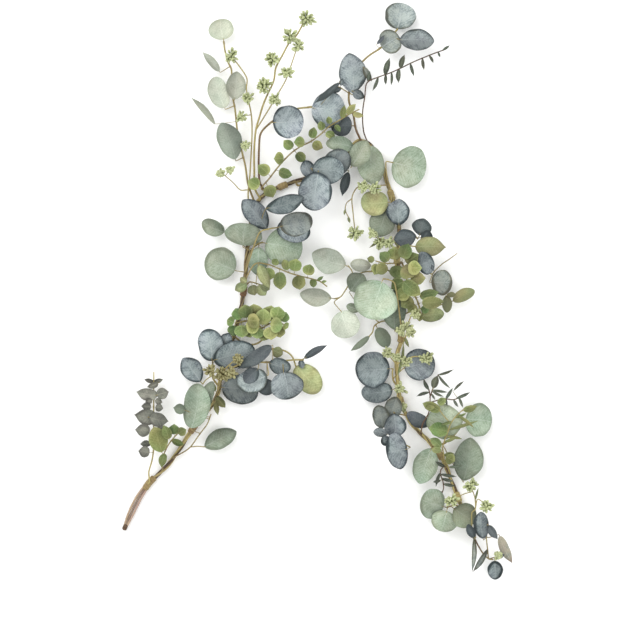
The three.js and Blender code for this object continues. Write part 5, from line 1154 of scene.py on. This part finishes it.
def leaf_face(look, colours, sizes):
    """Printed polyester leaf cloth, heat-pressed, satin-matt: brushed colour, pressed veins, a dyed rim, and
    painted shade where leaves lie close and across each blade.
    """
    pale, rim, under, vein = [linear(code) for code in LOOKS[look][1:5]]
    mottle, rim_depth = LOOKS[look][5:]
    material, tree = new_material("printed_cloth_leaf_" + look)
    uv = put(tree, "ShaderNodeUVMap", uv_map="blade")[0]
    split = put(tree, "ShaderNodeSeparateXYZ", {0: uv})
    x = split[0]
    aside = put(tree, "ShaderNodeMath", {0: split[1]}, operation="ABSOLUTE")[0]
    tone, tan, dark, edge, own_hue = [
        put(tree, "ShaderNodeAttribute", attribute_name=mark)["Fac"] for mark in MARKS
    ]
    place = put(tree, "ShaderNodeTexCoord")["Object"]

    # Washes about 33 mm across, blotches of 11 mm and a fine grain of 1.4 mm.
    wash = put(tree, "ShaderNodeTexNoise", {"Vector": place, "Scale": 30.0, "Detail": 1.0})[0]
    blotch = put(tree, "ShaderNodeTexNoise", {"Vector": place, "Scale": 90.0, "Detail": 3.0})[0]
    grain = put(tree, "ShaderNodeTexNoise", {"Vector": place, "Scale": 700.0, "Detail": 3.0})[0]

    # Brush marks run out from the midrib towards the tip, 3 mm wide and 12 mm long, with finer ones between.
    cross = put(tree, "ShaderNodeMath", {0: aside, 1: -0.72, 2: x}, operation="MULTIPLY_ADD")[0]
    outward = put(tree, "ShaderNodeMath", {0: x, 1: 0.6, 2: aside}, operation="MULTIPLY_ADD")[0]
    wide = put(tree, "ShaderNodeMath", {0: cross, 1: 3.0}, operation="MULTIPLY")[0]
    long = put(tree, "ShaderNodeMath", {0: outward, 1: 0.8}, operation="MULTIPLY")[0]
    own = put(tree, "ShaderNodeMath", {0: tone, 1: 23.0}, operation="MULTIPLY")[0]
    brush_at = put(tree, "ShaderNodeCombineXYZ", {0: wide, 1: long, 2: own})[0]
    brush = put(tree, "ShaderNodeTexNoise", {"Vector": brush_at, "Scale": 1.0, "Detail": 3.0,
                                             "Roughness": 0.58})[0]

    # Side veins every few millimetres, a net of 3 mm cells between them, and the midrib.
    bent = put(tree, "ShaderNodeMath", {0: blotch, 1: 0.35, 2: cross}, operation="MULTIPLY_ADD")[0]
    wave = put(tree, "ShaderNodeMath", {0: bent, 1: 2 * math.pi / (sizes.vein_spacing / MM / 10)},
               operation="MULTIPLY")[0]
    crest = put(tree, "ShaderNodeMath", {0: wave}, operation="SINE")[0]
    side_vein = put(tree, "ShaderNodeMapRange", {"Value": crest, "From Min": 0.8, "From Max": 1.0},
                    interpolation_type="SMOOTHSTEP")[0]
    cell_at = put(tree, "ShaderNodeVectorMath", {0: uv, 1: (3.3, 3.3, 3.3)}, operation="MULTIPLY")[0]
    cell = put(tree, "ShaderNodeTexVoronoi", {"Vector": cell_at, "Scale": 1.0, "Randomness": 0.9},
               feature="DISTANCE_TO_EDGE")[0]
    net = put(tree, "ShaderNodeMapRange", {"Value": cell, "From Min": 0.03, "From Max": 0.16,
                                           "To Min": 1.0, "To Max": 0.0})[0]
    midrib = put(tree, "ShaderNodeMapRange", {"Value": aside, "From Min": 0.03, "From Max": 0.1,
                                              "To Min": 1.0, "To Max": 0.0},
                 interpolation_type="SMOOTHSTEP")[0]
    veins = put(tree, "ShaderNodeMath", {0: side_vein, 1: 0.45}, operation="MULTIPLY")[0]
    veins = put(tree, "ShaderNodeMath", {0: net, 1: 0.28, 2: veins}, operation="MULTIPLY_ADD")[0]
    fading = put(tree, "ShaderNodeMapRange", {"Value": x, "From Max": 4.5, "To Min": 0.8,
                                              "To Max": 0.25})[0]
    midrib = put(tree, "ShaderNodeMath", {0: midrib, 1: fading}, operation="MULTIPLY")[0]
    veins = put(tree, "ShaderNodeMath", {0: midrib, 1: veins}, operation="ADD", use_clamp=True)[0]

    # How far each colour shows: darker and paler brushing, the veins, the ragged dyed rim, tan ageing and the
    # dark back of a turned leaf.
    stroke = put(tree, "ShaderNodeMath", {0: brush, 1: blotch}, operation="ADD")[0]
    deep = put(tree, "ShaderNodeMapRange", {"Value": stroke, "From Min": 0.94, "From Max": 0.74,
                                            "To Max": 0.45 * mottle})[0]
    brushed = put(tree, "ShaderNodeMapRange", {"Value": stroke, "From Min": 0.9, "From Max": 1.16,
                                               "To Max": mottle})[0]
    middle = put(tree, "ShaderNodeMapRange", {"Value": edge, "From Min": 3.0, "From Max": 17.0,
                                              "To Max": 0.5 * rim_depth**2})[0]
    brushed = put(tree, "ShaderNodeMath", {0: brushed, 1: middle}, operation="ADD", use_clamp=True)[0]
    veined = put(tree, "ShaderNodeMath", {0: veins, 1: 0.85}, operation="MULTIPLY")[0]
    ragged = put(tree, "ShaderNodeMath", {0: brush, 1: -7.0, 2: edge}, operation="MULTIPLY_ADD")[0]
    ragged = put(tree, "ShaderNodeMath", {0: wash, 1: 18.0, 2: ragged}, operation="MULTIPLY_ADD")[0]
    rimmed = put(tree, "ShaderNodeMapRange", {"Value": ragged, "From Min": 5.6, "From Max": 9.8,
                                              "To Min": rim_depth, "To Max": 0.0},
                 interpolation_type="SMOOTHSTEP")[0]
    aged = put(tree, "ShaderNodeMapRange", {"Value": blotch, "From Min": 0.3, "From Max": 0.6,
                                            "To Min": 0.45, "To Max": 1.0})[0]
    aged = put(tree, "ShaderNodeMath", {0: aged, 1: tan}, operation="MULTIPLY", use_clamp=True)[0]
    turned = put(tree, "ShaderNodeMath", {0: dark, 1: 0.85}, operation="MULTIPLY")[0]
    colour = tuple(getattr(colours, look))
    for share, other in ((deep, rim), (brushed, pale), (veined, vein), (rimmed, rim),
                         (aged, tuple(colours.tan)), (turned, under)):
        colour = put(tree, "ShaderNodeMix", {0: share, 6: colour, 7: other}, data_type="RGBA")[2]
    # The tone mark sets the lightness, and with it the painted shade across each blade's fold and along its
    # length.
    light = put(tree, "ShaderNodeMath", {0: tone, 1: 0.19, 2: 0.92}, operation="MULTIPLY_ADD")[0]
    speck = put(tree, "ShaderNodeMapRange", {"Value": grain, "From Min": 0.3, "From Max": 0.7,
                                             "To Min": 0.88, "To Max": 1.12})[0]
    light = put(tree, "ShaderNodeMath", {0: light, 1: speck}, operation="MULTIPLY")[0]
    # Painted shade where leaves lie close together: an ambient occlusion darkens the colour.
    close = put(tree, "ShaderNodeAmbientOcclusion", {"Distance": 0.03}, samples=6)[1]
    close = put(tree, "ShaderNodeMapRange", {"Value": close, "From Min": 0.15, "From Max": 0.8,
                                             "To Min": 0.42})[0]
    light = put(tree, "ShaderNodeMath", {0: light, 1: close}, operation="MULTIPLY")[0]
    turn = put(tree, "ShaderNodeMapRange", {"Value": wash, "From Min": 0.3, "From Max": 0.7,
                                            "To Min": 0.465, "To Max": 0.525})[0]
    turn = put(tree, "ShaderNodeMath", {0: own_hue, 1: 0.022, 2: turn}, operation="MULTIPLY_ADD")[0]
    colour = put(tree, "ShaderNodeHueSaturation", {"Hue": turn, "Value": light, "Color": colour})[0]
    rough = put(tree, "ShaderNodeMapRange", {"Value": brush, "From Min": 0.3, "From Max": 0.7,
                                             "To Min": 0.52, "To Max": 0.7})[0]
    height = put(tree, "ShaderNodeMath", {0: grain, 1: 0.35, 2: veins}, operation="MULTIPLY_ADD")[0]
    finish_material(tree, colour, rough, height, 0.0005, 0.3, 0.05)
    return material


def leaf_back(look):
    """The unprinted back of pressed leaf cloth: one dull colour with a raised midrib and a visible weave."""
    under, vein = [linear(code) for code in LOOKS[look][3:5]]
    material, tree = new_material("plain_cloth_leaf_back_" + look)
    uv = put(tree, "ShaderNodeUVMap", uv_map="blade")[0]
    split = put(tree, "ShaderNodeSeparateXYZ", {0: uv})
    aside = put(tree, "ShaderNodeMath", {0: split[1]}, operation="ABSOLUTE")[0]
    midrib = put(tree, "ShaderNodeMapRange", {"Value": aside, "From Min": 0.03, "From Max": 0.1,
                                              "To Min": 1.0, "To Max": 0.0})[0]
    place = put(tree, "ShaderNodeTexCoord")["Object"]
    blotch = put(tree, "ShaderNodeTexNoise", {"Vector": place, "Scale": 120.0, "Detail": 4.0})[0]
    # Threads are drawn 0.8 mm apart, coarser than the real 0.3 mm, so that they show.
    weave = put(tree, "ShaderNodeTexWave", {"Vector": uv, "Scale": 3.9, "Distortion": 0.4},
                bands_direction="DIAGONAL")[1]
    colour = put(tree, "ShaderNodeMix", {0: blotch, 6: under, 7: vein}, data_type="RGBA")[2]
    share = put(tree, "ShaderNodeMath", {0: midrib, 1: 0.5}, operation="MULTIPLY")[0]
    colour = put(tree, "ShaderNodeMix", {0: share, 6: colour, 7: vein}, data_type="RGBA")[2]
    height = put(tree, "ShaderNodeMath", {0: weave, 1: 0.3, 2: midrib}, operation="MULTIPLY_ADD")[0]
    finish_material(tree, colour, 0.75, height, 0.0003, 0.3, 0.1)
    return material


def wrapped_stem(name, fresh, brown, dull):
    """Moulded polyethylene over wire: fine ridges along it, greenish where young and brown near the vine."""
    material, tree = new_material(name)
    uv = put(tree, "ShaderNodeUVMap", uv_map="blade")[0]
    tone, tan, dark = [
        put(tree, "ShaderNodeAttribute", attribute_name=mark)["Fac"] for mark in ("tone", "tan", "dark")
    ]
    place = put(tree, "ShaderNodeTexCoord")["Object"]
    stretched = put(tree, "ShaderNodeVectorMath", {0: uv, 1: (1.6, 9.0, 1.0)}, operation="MULTIPLY")[0]
    ridge = put(tree, "ShaderNodeTexNoise", {"Vector": stretched, "Scale": 1.0, "Detail": 4.0})[0]
    patch = put(tree, "ShaderNodeTexNoise", {"Vector": place, "Scale": 60.0, "Detail": 3.0})[0]
    share = put(tree, "ShaderNodeMath", {0: patch, 1: 0.9, 2: tan}, operation="MULTIPLY_ADD")[0]
    share = put(tree, "ShaderNodeMath", {0: share, 1: 0.45}, operation="SUBTRACT", use_clamp=True)[0]
    colour = put(tree, "ShaderNodeMix", {0: share, 6: fresh, 7: brown}, data_type="RGBA")[2]
    light = put(tree, "ShaderNodeMapRange", {"Value": ridge, "From Min": 0.3, "From Max": 0.7,
                                             "To Min": 0.75, "To Max": 1.2})[0]
    lift = put(tree, "ShaderNodeMath", {0: tone, 1: 0.15, 2: light}, operation="MULTIPLY_ADD")[0]
    lift = put(tree, "ShaderNodeMath", {0: dark, 1: -0.35, 2: lift}, operation="MULTIPLY_ADD")[0]
    colour = put(tree, "ShaderNodeHueSaturation", {"Value": lift, "Color": colour})[0]
    rough = put(tree, "ShaderNodeMapRange", {"Value": ridge, "To Min": dull, "To Max": dull + 0.2})[0]
    finish_material(tree, colour, rough, ridge, 0.0005, 0.45)
    return material


def seed_plastic(name, body, tip, crease, dry):
    """Soft moulded polyethylene seeds: dusted green, lighter at their ends, with painted shade at their bases
    where they crowd together at the hub.
    """
    material, tree = new_material(name)
    tone, tan, along_seed = [
        put(tree, "ShaderNodeAttribute", attribute_name=mark)["Fac"] for mark in ("tone", "tan", "edge")
    ]
    place = put(tree, "ShaderNodeTexCoord")["Object"]
    dust = put(tree, "ShaderNodeTexNoise", {"Vector": place, "Scale": 420.0, "Detail": 4.0})[0]
    ramp_at = put(tree, "ShaderNodeMath", {0: along_seed, 1: 0.1}, operation="MULTIPLY")[0]
    ramp_at = put(tree, "ShaderNodeMath", {0: dust, 1: 0.16, 2: ramp_at}, operation="MULTIPLY_ADD")[0]
    # The crease colour at each seed's base, where the seeds meet at the hub, is painted shade.
    colour = put(tree, "ShaderNodeValToRGB", {0: ramp_at}, stops=[
        (0.3, linear(crease)), (0.6, tuple(body)), (0.95, linear(tip)),
    ])[0]
    share = put(tree, "ShaderNodeMath", {0: dust, 1: tan}, operation="MULTIPLY")[0]
    share = put(tree, "ShaderNodeMath", {0: share, 1: 1.6}, operation="MULTIPLY", use_clamp=True)[0]
    colour = put(tree, "ShaderNodeMix", {0: share, 6: colour, 7: linear(dry)}, data_type="RGBA")[2]
    light = put(tree, "ShaderNodeMath", {0: tone, 1: 0.16, 2: 1.0}, operation="MULTIPLY_ADD")[0]
    colour = put(tree, "ShaderNodeHueSaturation", {"Value": light, "Color": colour})[0]
    rough = put(tree, "ShaderNodeMapRange", {"Value": dust, "To Min": 0.5, "To Max": 0.75})[0]
    finish_material(tree, colour, rough, dust, 0.0003, 0.4)
    return material


def paper_tape(name, fresh, brown):
    """Waxed crepe paper tape wound tight: fine creases across it, lapped edges and a slight waxy sheen."""
    material, tree = new_material(name)
    uv = put(tree, "ShaderNodeUVMap", uv_map="blade")[0]
    split = put(tree, "ShaderNodeSeparateXYZ", {0: uv})
    tan, dark = [put(tree, "ShaderNodeAttribute", attribute_name=mark)["Fac"] for mark in ("tan", "dark")]
    place = put(tree, "ShaderNodeTexCoord")["Object"]
    # The tape turns once every 5 mm, and its creases are 0.7 mm apart.
    lap = put(tree, "ShaderNodeMath", {0: split[0], 1: 1.92, 2: split[1]},
              operation="MULTIPLY_ADD")[0]
    lap = put(tree, "ShaderNodeMath", {0: lap}, operation="FRACT")[0]
    fine = put(tree, "ShaderNodeVectorMath", {0: uv, 1: (14.0, 40.0, 1.0)}, operation="MULTIPLY")[0]
    crease = put(tree, "ShaderNodeTexNoise", {"Vector": fine, "Scale": 1.0, "Detail": 3.0})[0]
    patch = put(tree, "ShaderNodeTexNoise", {"Vector": place, "Scale": 150.0, "Detail": 3.0})[0]
    share = put(tree, "ShaderNodeMath", {0: patch, 1: 0.8, 2: tan}, operation="MULTIPLY_ADD")[0]
    share = put(tree, "ShaderNodeMath", {0: share, 1: 0.4}, operation="SUBTRACT", use_clamp=True)[0]
    colour = put(tree, "ShaderNodeMix", {0: share, 6: fresh, 7: brown}, data_type="RGBA")[2]
    light = put(tree, "ShaderNodeMapRange", {"Value": lap, "From Min": 0.0, "From Max": 0.22,
                                             "To Min": 0.55, "To Max": 1.05})[0]
    light = put(tree, "ShaderNodeMath", {0: dark, 1: -0.45, 2: light}, operation="MULTIPLY_ADD")[0]
    colour = put(tree, "ShaderNodeHueSaturation", {"Value": light, "Color": colour})[0]
    height = put(tree, "ShaderNodeMath", {0: crease, 1: 0.5, 2: lap}, operation="MULTIPLY_ADD")[0]
    finish_material(tree, colour, 0.6, height, 0.0004, 0.4)
    return material


MADE = {}


def all_materials(scene):
    """Every material of the garland, made once from the colours in the sidebar."""
    colours = scene.garland_colours
    if not MADE:
        for look in LOOKS:
            MADE[look] = leaf_face(look, colours, scene.garland_sizes)
            MADE[look + "_under"] = leaf_back(look)
        stem, stem_brown, vine, vine_brown, tape, seed = [
            tuple(getattr(colours, key))
            for key in ("stem", "stem_brown", "vine", "vine_brown", "tape", "seed_head")
        ]
        MADE["stem"] = wrapped_stem("moulded_plastic_stem", stem, stem_brown, 0.45)
        MADE["vine"] = wrapped_stem("wrapped_wire_vine", vine, vine_brown, 0.5)
        MADE["tape"] = paper_tape("waxed_paper_tape", vine, tape)
        MADE["tail"] = wrapped_stem("bare_wire_tail", vine, linear("8d766a"), 0.5)
        # The seeds' third colour, the darkest, is painted shade at their bases where they meet.
        MADE["bud"] = seed_plastic("moulded_plastic_seed", seed, "a9b085", "3a421f", "75623c")
    return MADE


class GarlandSizes(bpy.types.PropertyGroup):
    """Sizes that can change without moving a spray."""

    leaf_thickness: FloatProperty(name="Leaf thickness", description="Thickness of the leaf cloth",
                                  default=0.00055, min=0.0002, max=0.001, precision=5, unit="LENGTH")
    edge_wave: FloatProperty(name="Edge wave", description="How far a leaf's rim waves up and down",
                             default=0.0007, min=0.0, max=0.001, precision=5, unit="LENGTH")
    vein_spacing: FloatProperty(name="Vein spacing", description="Distance from one side vein to the next",
                                default=0.0055, min=0.002, max=0.02, precision=4, unit="LENGTH")
    seed_width: FloatProperty(name="Seed width", description="Widest part of one seed of a head",
                              default=0.005, min=0.003, max=0.0068, precision=4, unit="LENGTH")
    strand_radius: FloatProperty(name="Strand radius", description="Radius of one wire of the twisted vine",
                                 default=0.0017, min=0.001, max=0.0022, precision=4, unit="LENGTH")
    strand_pitch: FloatProperty(name="Strand pitch", description="Length in which the wires twist once",
                                default=0.11, min=0.04, max=0.4, precision=3, unit="LENGTH")


class GarlandColours(bpy.types.PropertyGroup):
    """Main colours of the leaves, stems, seeds and tape."""

    blue: FloatVectorProperty(name="Blue leaves", description="Face of the dusty-blue silver-dollar leaves",
                              default=linear(LOOKS["blue"][0]), size=4, min=0, max=1, subtype="COLOR")
    mint: FloatVectorProperty(name="Mint leaves", description="Face of the sage silver-dollar leaves",
                              default=linear(LOOKS["mint"][0]), size=4, min=0, max=1, subtype="COLOR")
    pale: FloatVectorProperty(name="Pale leaves", description="Face of the palest silver-dollar leaves",
                              default=linear(LOOKS["pale"][0]), size=4, min=0, max=1, subtype="COLOR")
    green: FloatVectorProperty(name="Baby leaves", description="Face of the yellow-green baby leaves",
                               default=linear(LOOKS["green"][0]), size=4, min=0, max=1, subtype="COLOR")
    olive: FloatVectorProperty(name="Olive leaves", description="Face of the olive leaves",
                               default=linear(LOOKS["olive"][0]), size=4, min=0, max=1, subtype="COLOR")
    mauve: FloatVectorProperty(name="Mauve leaves", description="Face of the grey-mauve baby leaves",
                               default=linear(LOOKS["mauve"][0]), size=4, min=0, max=1, subtype="COLOR")
    twig: FloatVectorProperty(name="Twig leaves", description="Face of the dark narrow leaves",
                              default=linear(LOOKS["twig"][0]), size=4, min=0, max=1, subtype="COLOR")
    seed: FloatVectorProperty(name="Seeded spray leaves", description="Face of the leaves among the seeds",
                              default=linear(LOOKS["seed"][0]), size=4, min=0, max=1, subtype="COLOR")
    seed_head: FloatVectorProperty(name="Seeds", description="Body of the seeds",
                                   default=linear("7d8655"), size=4, min=0, max=1, subtype="COLOR")
    tan: FloatVectorProperty(name="Tan", description="Tan that some leaves turn to",
                             default=linear("817e58"), size=4, min=0, max=1, subtype="COLOR")
    stem: FloatVectorProperty(name="Stems", description="Young stems",
                              default=linear("968a56"), size=4, min=0, max=1, subtype="COLOR")
    stem_brown: FloatVectorProperty(name="Old stems", description="Stems near the vine",
                                    default=linear("5c4331"), size=4, min=0, max=1, subtype="COLOR")
    vine: FloatVectorProperty(name="Vine", description="Golden wires of the vine and fresh tape",
                              default=linear("a0935f"), size=4, min=0, max=1, subtype="COLOR")
    vine_brown: FloatVectorProperty(name="Old vine", description="Brown wires of the vine and its tail",
                                    default=linear("544335"), size=4, min=0, max=1, subtype="COLOR")
    tape: FloatVectorProperty(name="Tape", description="Brown tape round the vine",
                              default=linear("6c5039"), size=4, min=0, max=1, subtype="COLOR")
    floor: FloatVectorProperty(name="Floor", description="The pale floor under the garland",
                               default=linear("fcfcfb"), size=4, min=0, max=1, subtype="COLOR")


def build_group(context, start):
    """Builds every spray whose name starts in one way."""
    materials = all_materials(context.scene)
    names = [spray["name"] for spray in SPRAYS if spray["name"].startswith(start)]
    if not names:
        raise RuntimeError("no spray's name starts with " + start)
    for name in names:
        build_spray(name, materials, context.scene.garland_sizes)


class GARLAND_OT_vine(bpy.types.Operator):
    """Builds the twisted vine with its tape and its bare tail"""

    bl_idname = "garland.vine"
    bl_label = "Taped Vine"

    def execute(self, context):
        build_vine(all_materials(context.scene), context.scene.garland_sizes)
        return {"FINISHED"}


class GARLAND_OT_silver_dollar(bpy.types.Operator):
    """Builds the sprays and single stems of round silver-dollar leaves"""

    bl_idname = "garland.silver_dollar"
    bl_label = "Silver-Dollar Leaves"

    def execute(self, context):
        build_group(context, "silver_dollar_")
        return {"FINISHED"}


class GARLAND_OT_olive_leaf(bpy.types.Operator):
    """Builds the sprays of long olive leaves"""

    bl_idname = "garland.olive_leaf"
    bl_label = "Olive Leaves"

    def execute(self, context):
        build_group(context, "olive_leaf_")
        return {"FINISHED"}


class GARLAND_OT_baby(bpy.types.Operator):
    """Builds the sprays of small paired baby leaves"""

    bl_idname = "garland.baby"
    bl_label = "Baby Sprays"

    def execute(self, context):
        build_group(context, "baby_spray_")
        return {"FINISHED"}


class GARLAND_OT_twigs(bpy.types.Operator):
    """Builds the twigs of narrow dark leaves"""

    bl_idname = "garland.twigs"
    bl_label = "Narrow-Leaf Twigs"

    def execute(self, context):
        build_group(context, "narrow_leaf_")
        return {"FINISHED"}


class GARLAND_OT_seeded(bpy.types.Operator):
    """Builds the sprays of seed heads"""

    bl_idname = "garland.seeded"
    bl_label = "Seeded Sprays"

    def execute(self, context):
        build_group(context, "seeded_spray_")
        return {"FINISHED"}


class GARLAND_OT_stage(bpy.types.Operator):
    """Builds the pale floor, the soft light and the camera over the garland"""

    bl_idname = "garland.stage"
    bl_label = "Floor, Light and Camera"

    def execute(self, context):
        build_stage(context.scene)
        return {"FINISHED"}


def build_stage(scene):
    """The pale floor just under the garland, the soft light and the camera straight above."""
    mesh = bpy.data.meshes.new("floor")
    reach, level = 6.0, -0.0003
    corners = [(x * reach, y * reach, level) for x, y in ((-1, -1), (1, -1), (1, 1), (-1, 1))]
    mesh.from_pydata(corners, [], [(0, 1, 2, 3)])
    floor = bpy.data.objects.new("floor", mesh)
    scene.collection.objects.link(floor)
    # Matt painted board: an even pale surface with the faintest mottling.
    material, tree = new_material("matt_painted_board")
    place = put(tree, "ShaderNodeTexCoord")["Object"]
    noise = put(tree, "ShaderNodeTexNoise", {"Vector": place, "Scale": 30.0, "Detail": 4.0})[0]
    light = put(tree, "ShaderNodeMapRange", {"Value": noise, "To Min": 0.99, "To Max": 1.01})[0]
    white = tuple(scene.garland_colours.floor)
    colour = put(tree, "ShaderNodeHueSaturation", {"Value": light, "Color": white})[0]
    finish_material(tree, colour, 0.9, noise, 0.0001, 0.1)
    mesh.materials.append(material)

    world = bpy.data.worlds.new("soft_white_room")
    world.use_nodes = True
    world.node_tree.nodes.clear()
    room = put(world.node_tree, "ShaderNodeBackground", {"Color": (1.0, 1.0, 1.0, 1.0), "Strength": 1.0})
    put(world.node_tree, "ShaderNodeOutputWorld", {"Surface": room[0]})
    scene.world = world

    for name, place, size, power in (
        ("softbox_key", (-1.9, 2.2, 3.4), 3.2, 118.0),
        ("softbox_fill", (2.4, -1.2, 3.2), 3.2, 46.0),
    ):
        data = bpy.data.lights.new(name, "AREA")
        data.shape = "SQUARE"
        data.size = size
        data.energy = power
        lamp = bpy.data.objects.new(name, data)
        lamp.location = place
        lamp.rotation_mode = "QUATERNION"
        lamp.rotation_quaternion = (-Vector(place)).to_track_quat("-Z", "Y")
        scene.collection.objects.link(lamp)

    # The camera looks straight down from far off, so that high leaves keep their place. Its frame is the
    # photo's at the height of the garland's middle.
    camera = bpy.data.objects.new("camera", bpy.data.cameras.new("camera"))
    away, middle = 8.0, 0.025
    camera.location = (PHOTO_SHIFT[0] * PIXEL * MM, PHOTO_SHIFT[1] * PIXEL * MM, away)
    camera.data.sensor_width = 36.0
    camera.data.lens = camera.data.sensor_width * (away - middle) / (PHOTO_WIDTH * PIXEL * MM)
    camera.data.clip_end = 50.0
    scene.collection.objects.link(camera)
    scene.camera = camera
    scene.view_settings.view_transform = "Standard"


class GARLAND_PT_panel(bpy.types.Panel):
    """Sizes, colours and pieces of the garland"""

    bl_idname = "GARLAND_PT_panel"
    bl_label = "Eucalyptus Garland"
    bl_space_type = "VIEW_3D"
    bl_region_type = "UI"
    bl_category = "Garland"

    def draw(self, context):
        layout = self.layout
        for group in (context.scene.garland_sizes, context.scene.garland_colours):
            box = layout.box()
            for key in group.bl_rna.properties.keys():
                if key not in ("rna_type", "name"):
                    box.prop(group, key)
        for operator in OPERATORS:
            layout.operator(operator.bl_idname)


OPERATORS = (GARLAND_OT_vine, GARLAND_OT_silver_dollar, GARLAND_OT_olive_leaf, GARLAND_OT_baby,
             GARLAND_OT_twigs, GARLAND_OT_seeded, GARLAND_OT_stage)
CLASSES = (GarlandSizes, GarlandColours, *OPERATORS, GARLAND_PT_panel)


def register():
    for cls in CLASSES:
        bpy.utils.register_class(cls)
    bpy.types.Scene.garland_sizes = PointerProperty(type=GarlandSizes)
    bpy.types.Scene.garland_colours = PointerProperty(type=GarlandColours)


def unregister():
    del bpy.types.Scene.garland_colours
    del bpy.types.Scene.garland_sizes
    for cls in reversed(CLASSES):
        bpy.utils.unregister_class(cls)


def main():
    """Builds the garland through its operators."""
    register()
    bpy.ops.garland.vine()
    bpy.ops.garland.silver_dollar()
    bpy.ops.garland.olive_leaf()
    bpy.ops.garland.baby()
    bpy.ops.garland.twigs()
    bpy.ops.garland.seeded()
    bpy.ops.garland.stage()


if __name__ == "__main__":
    main()
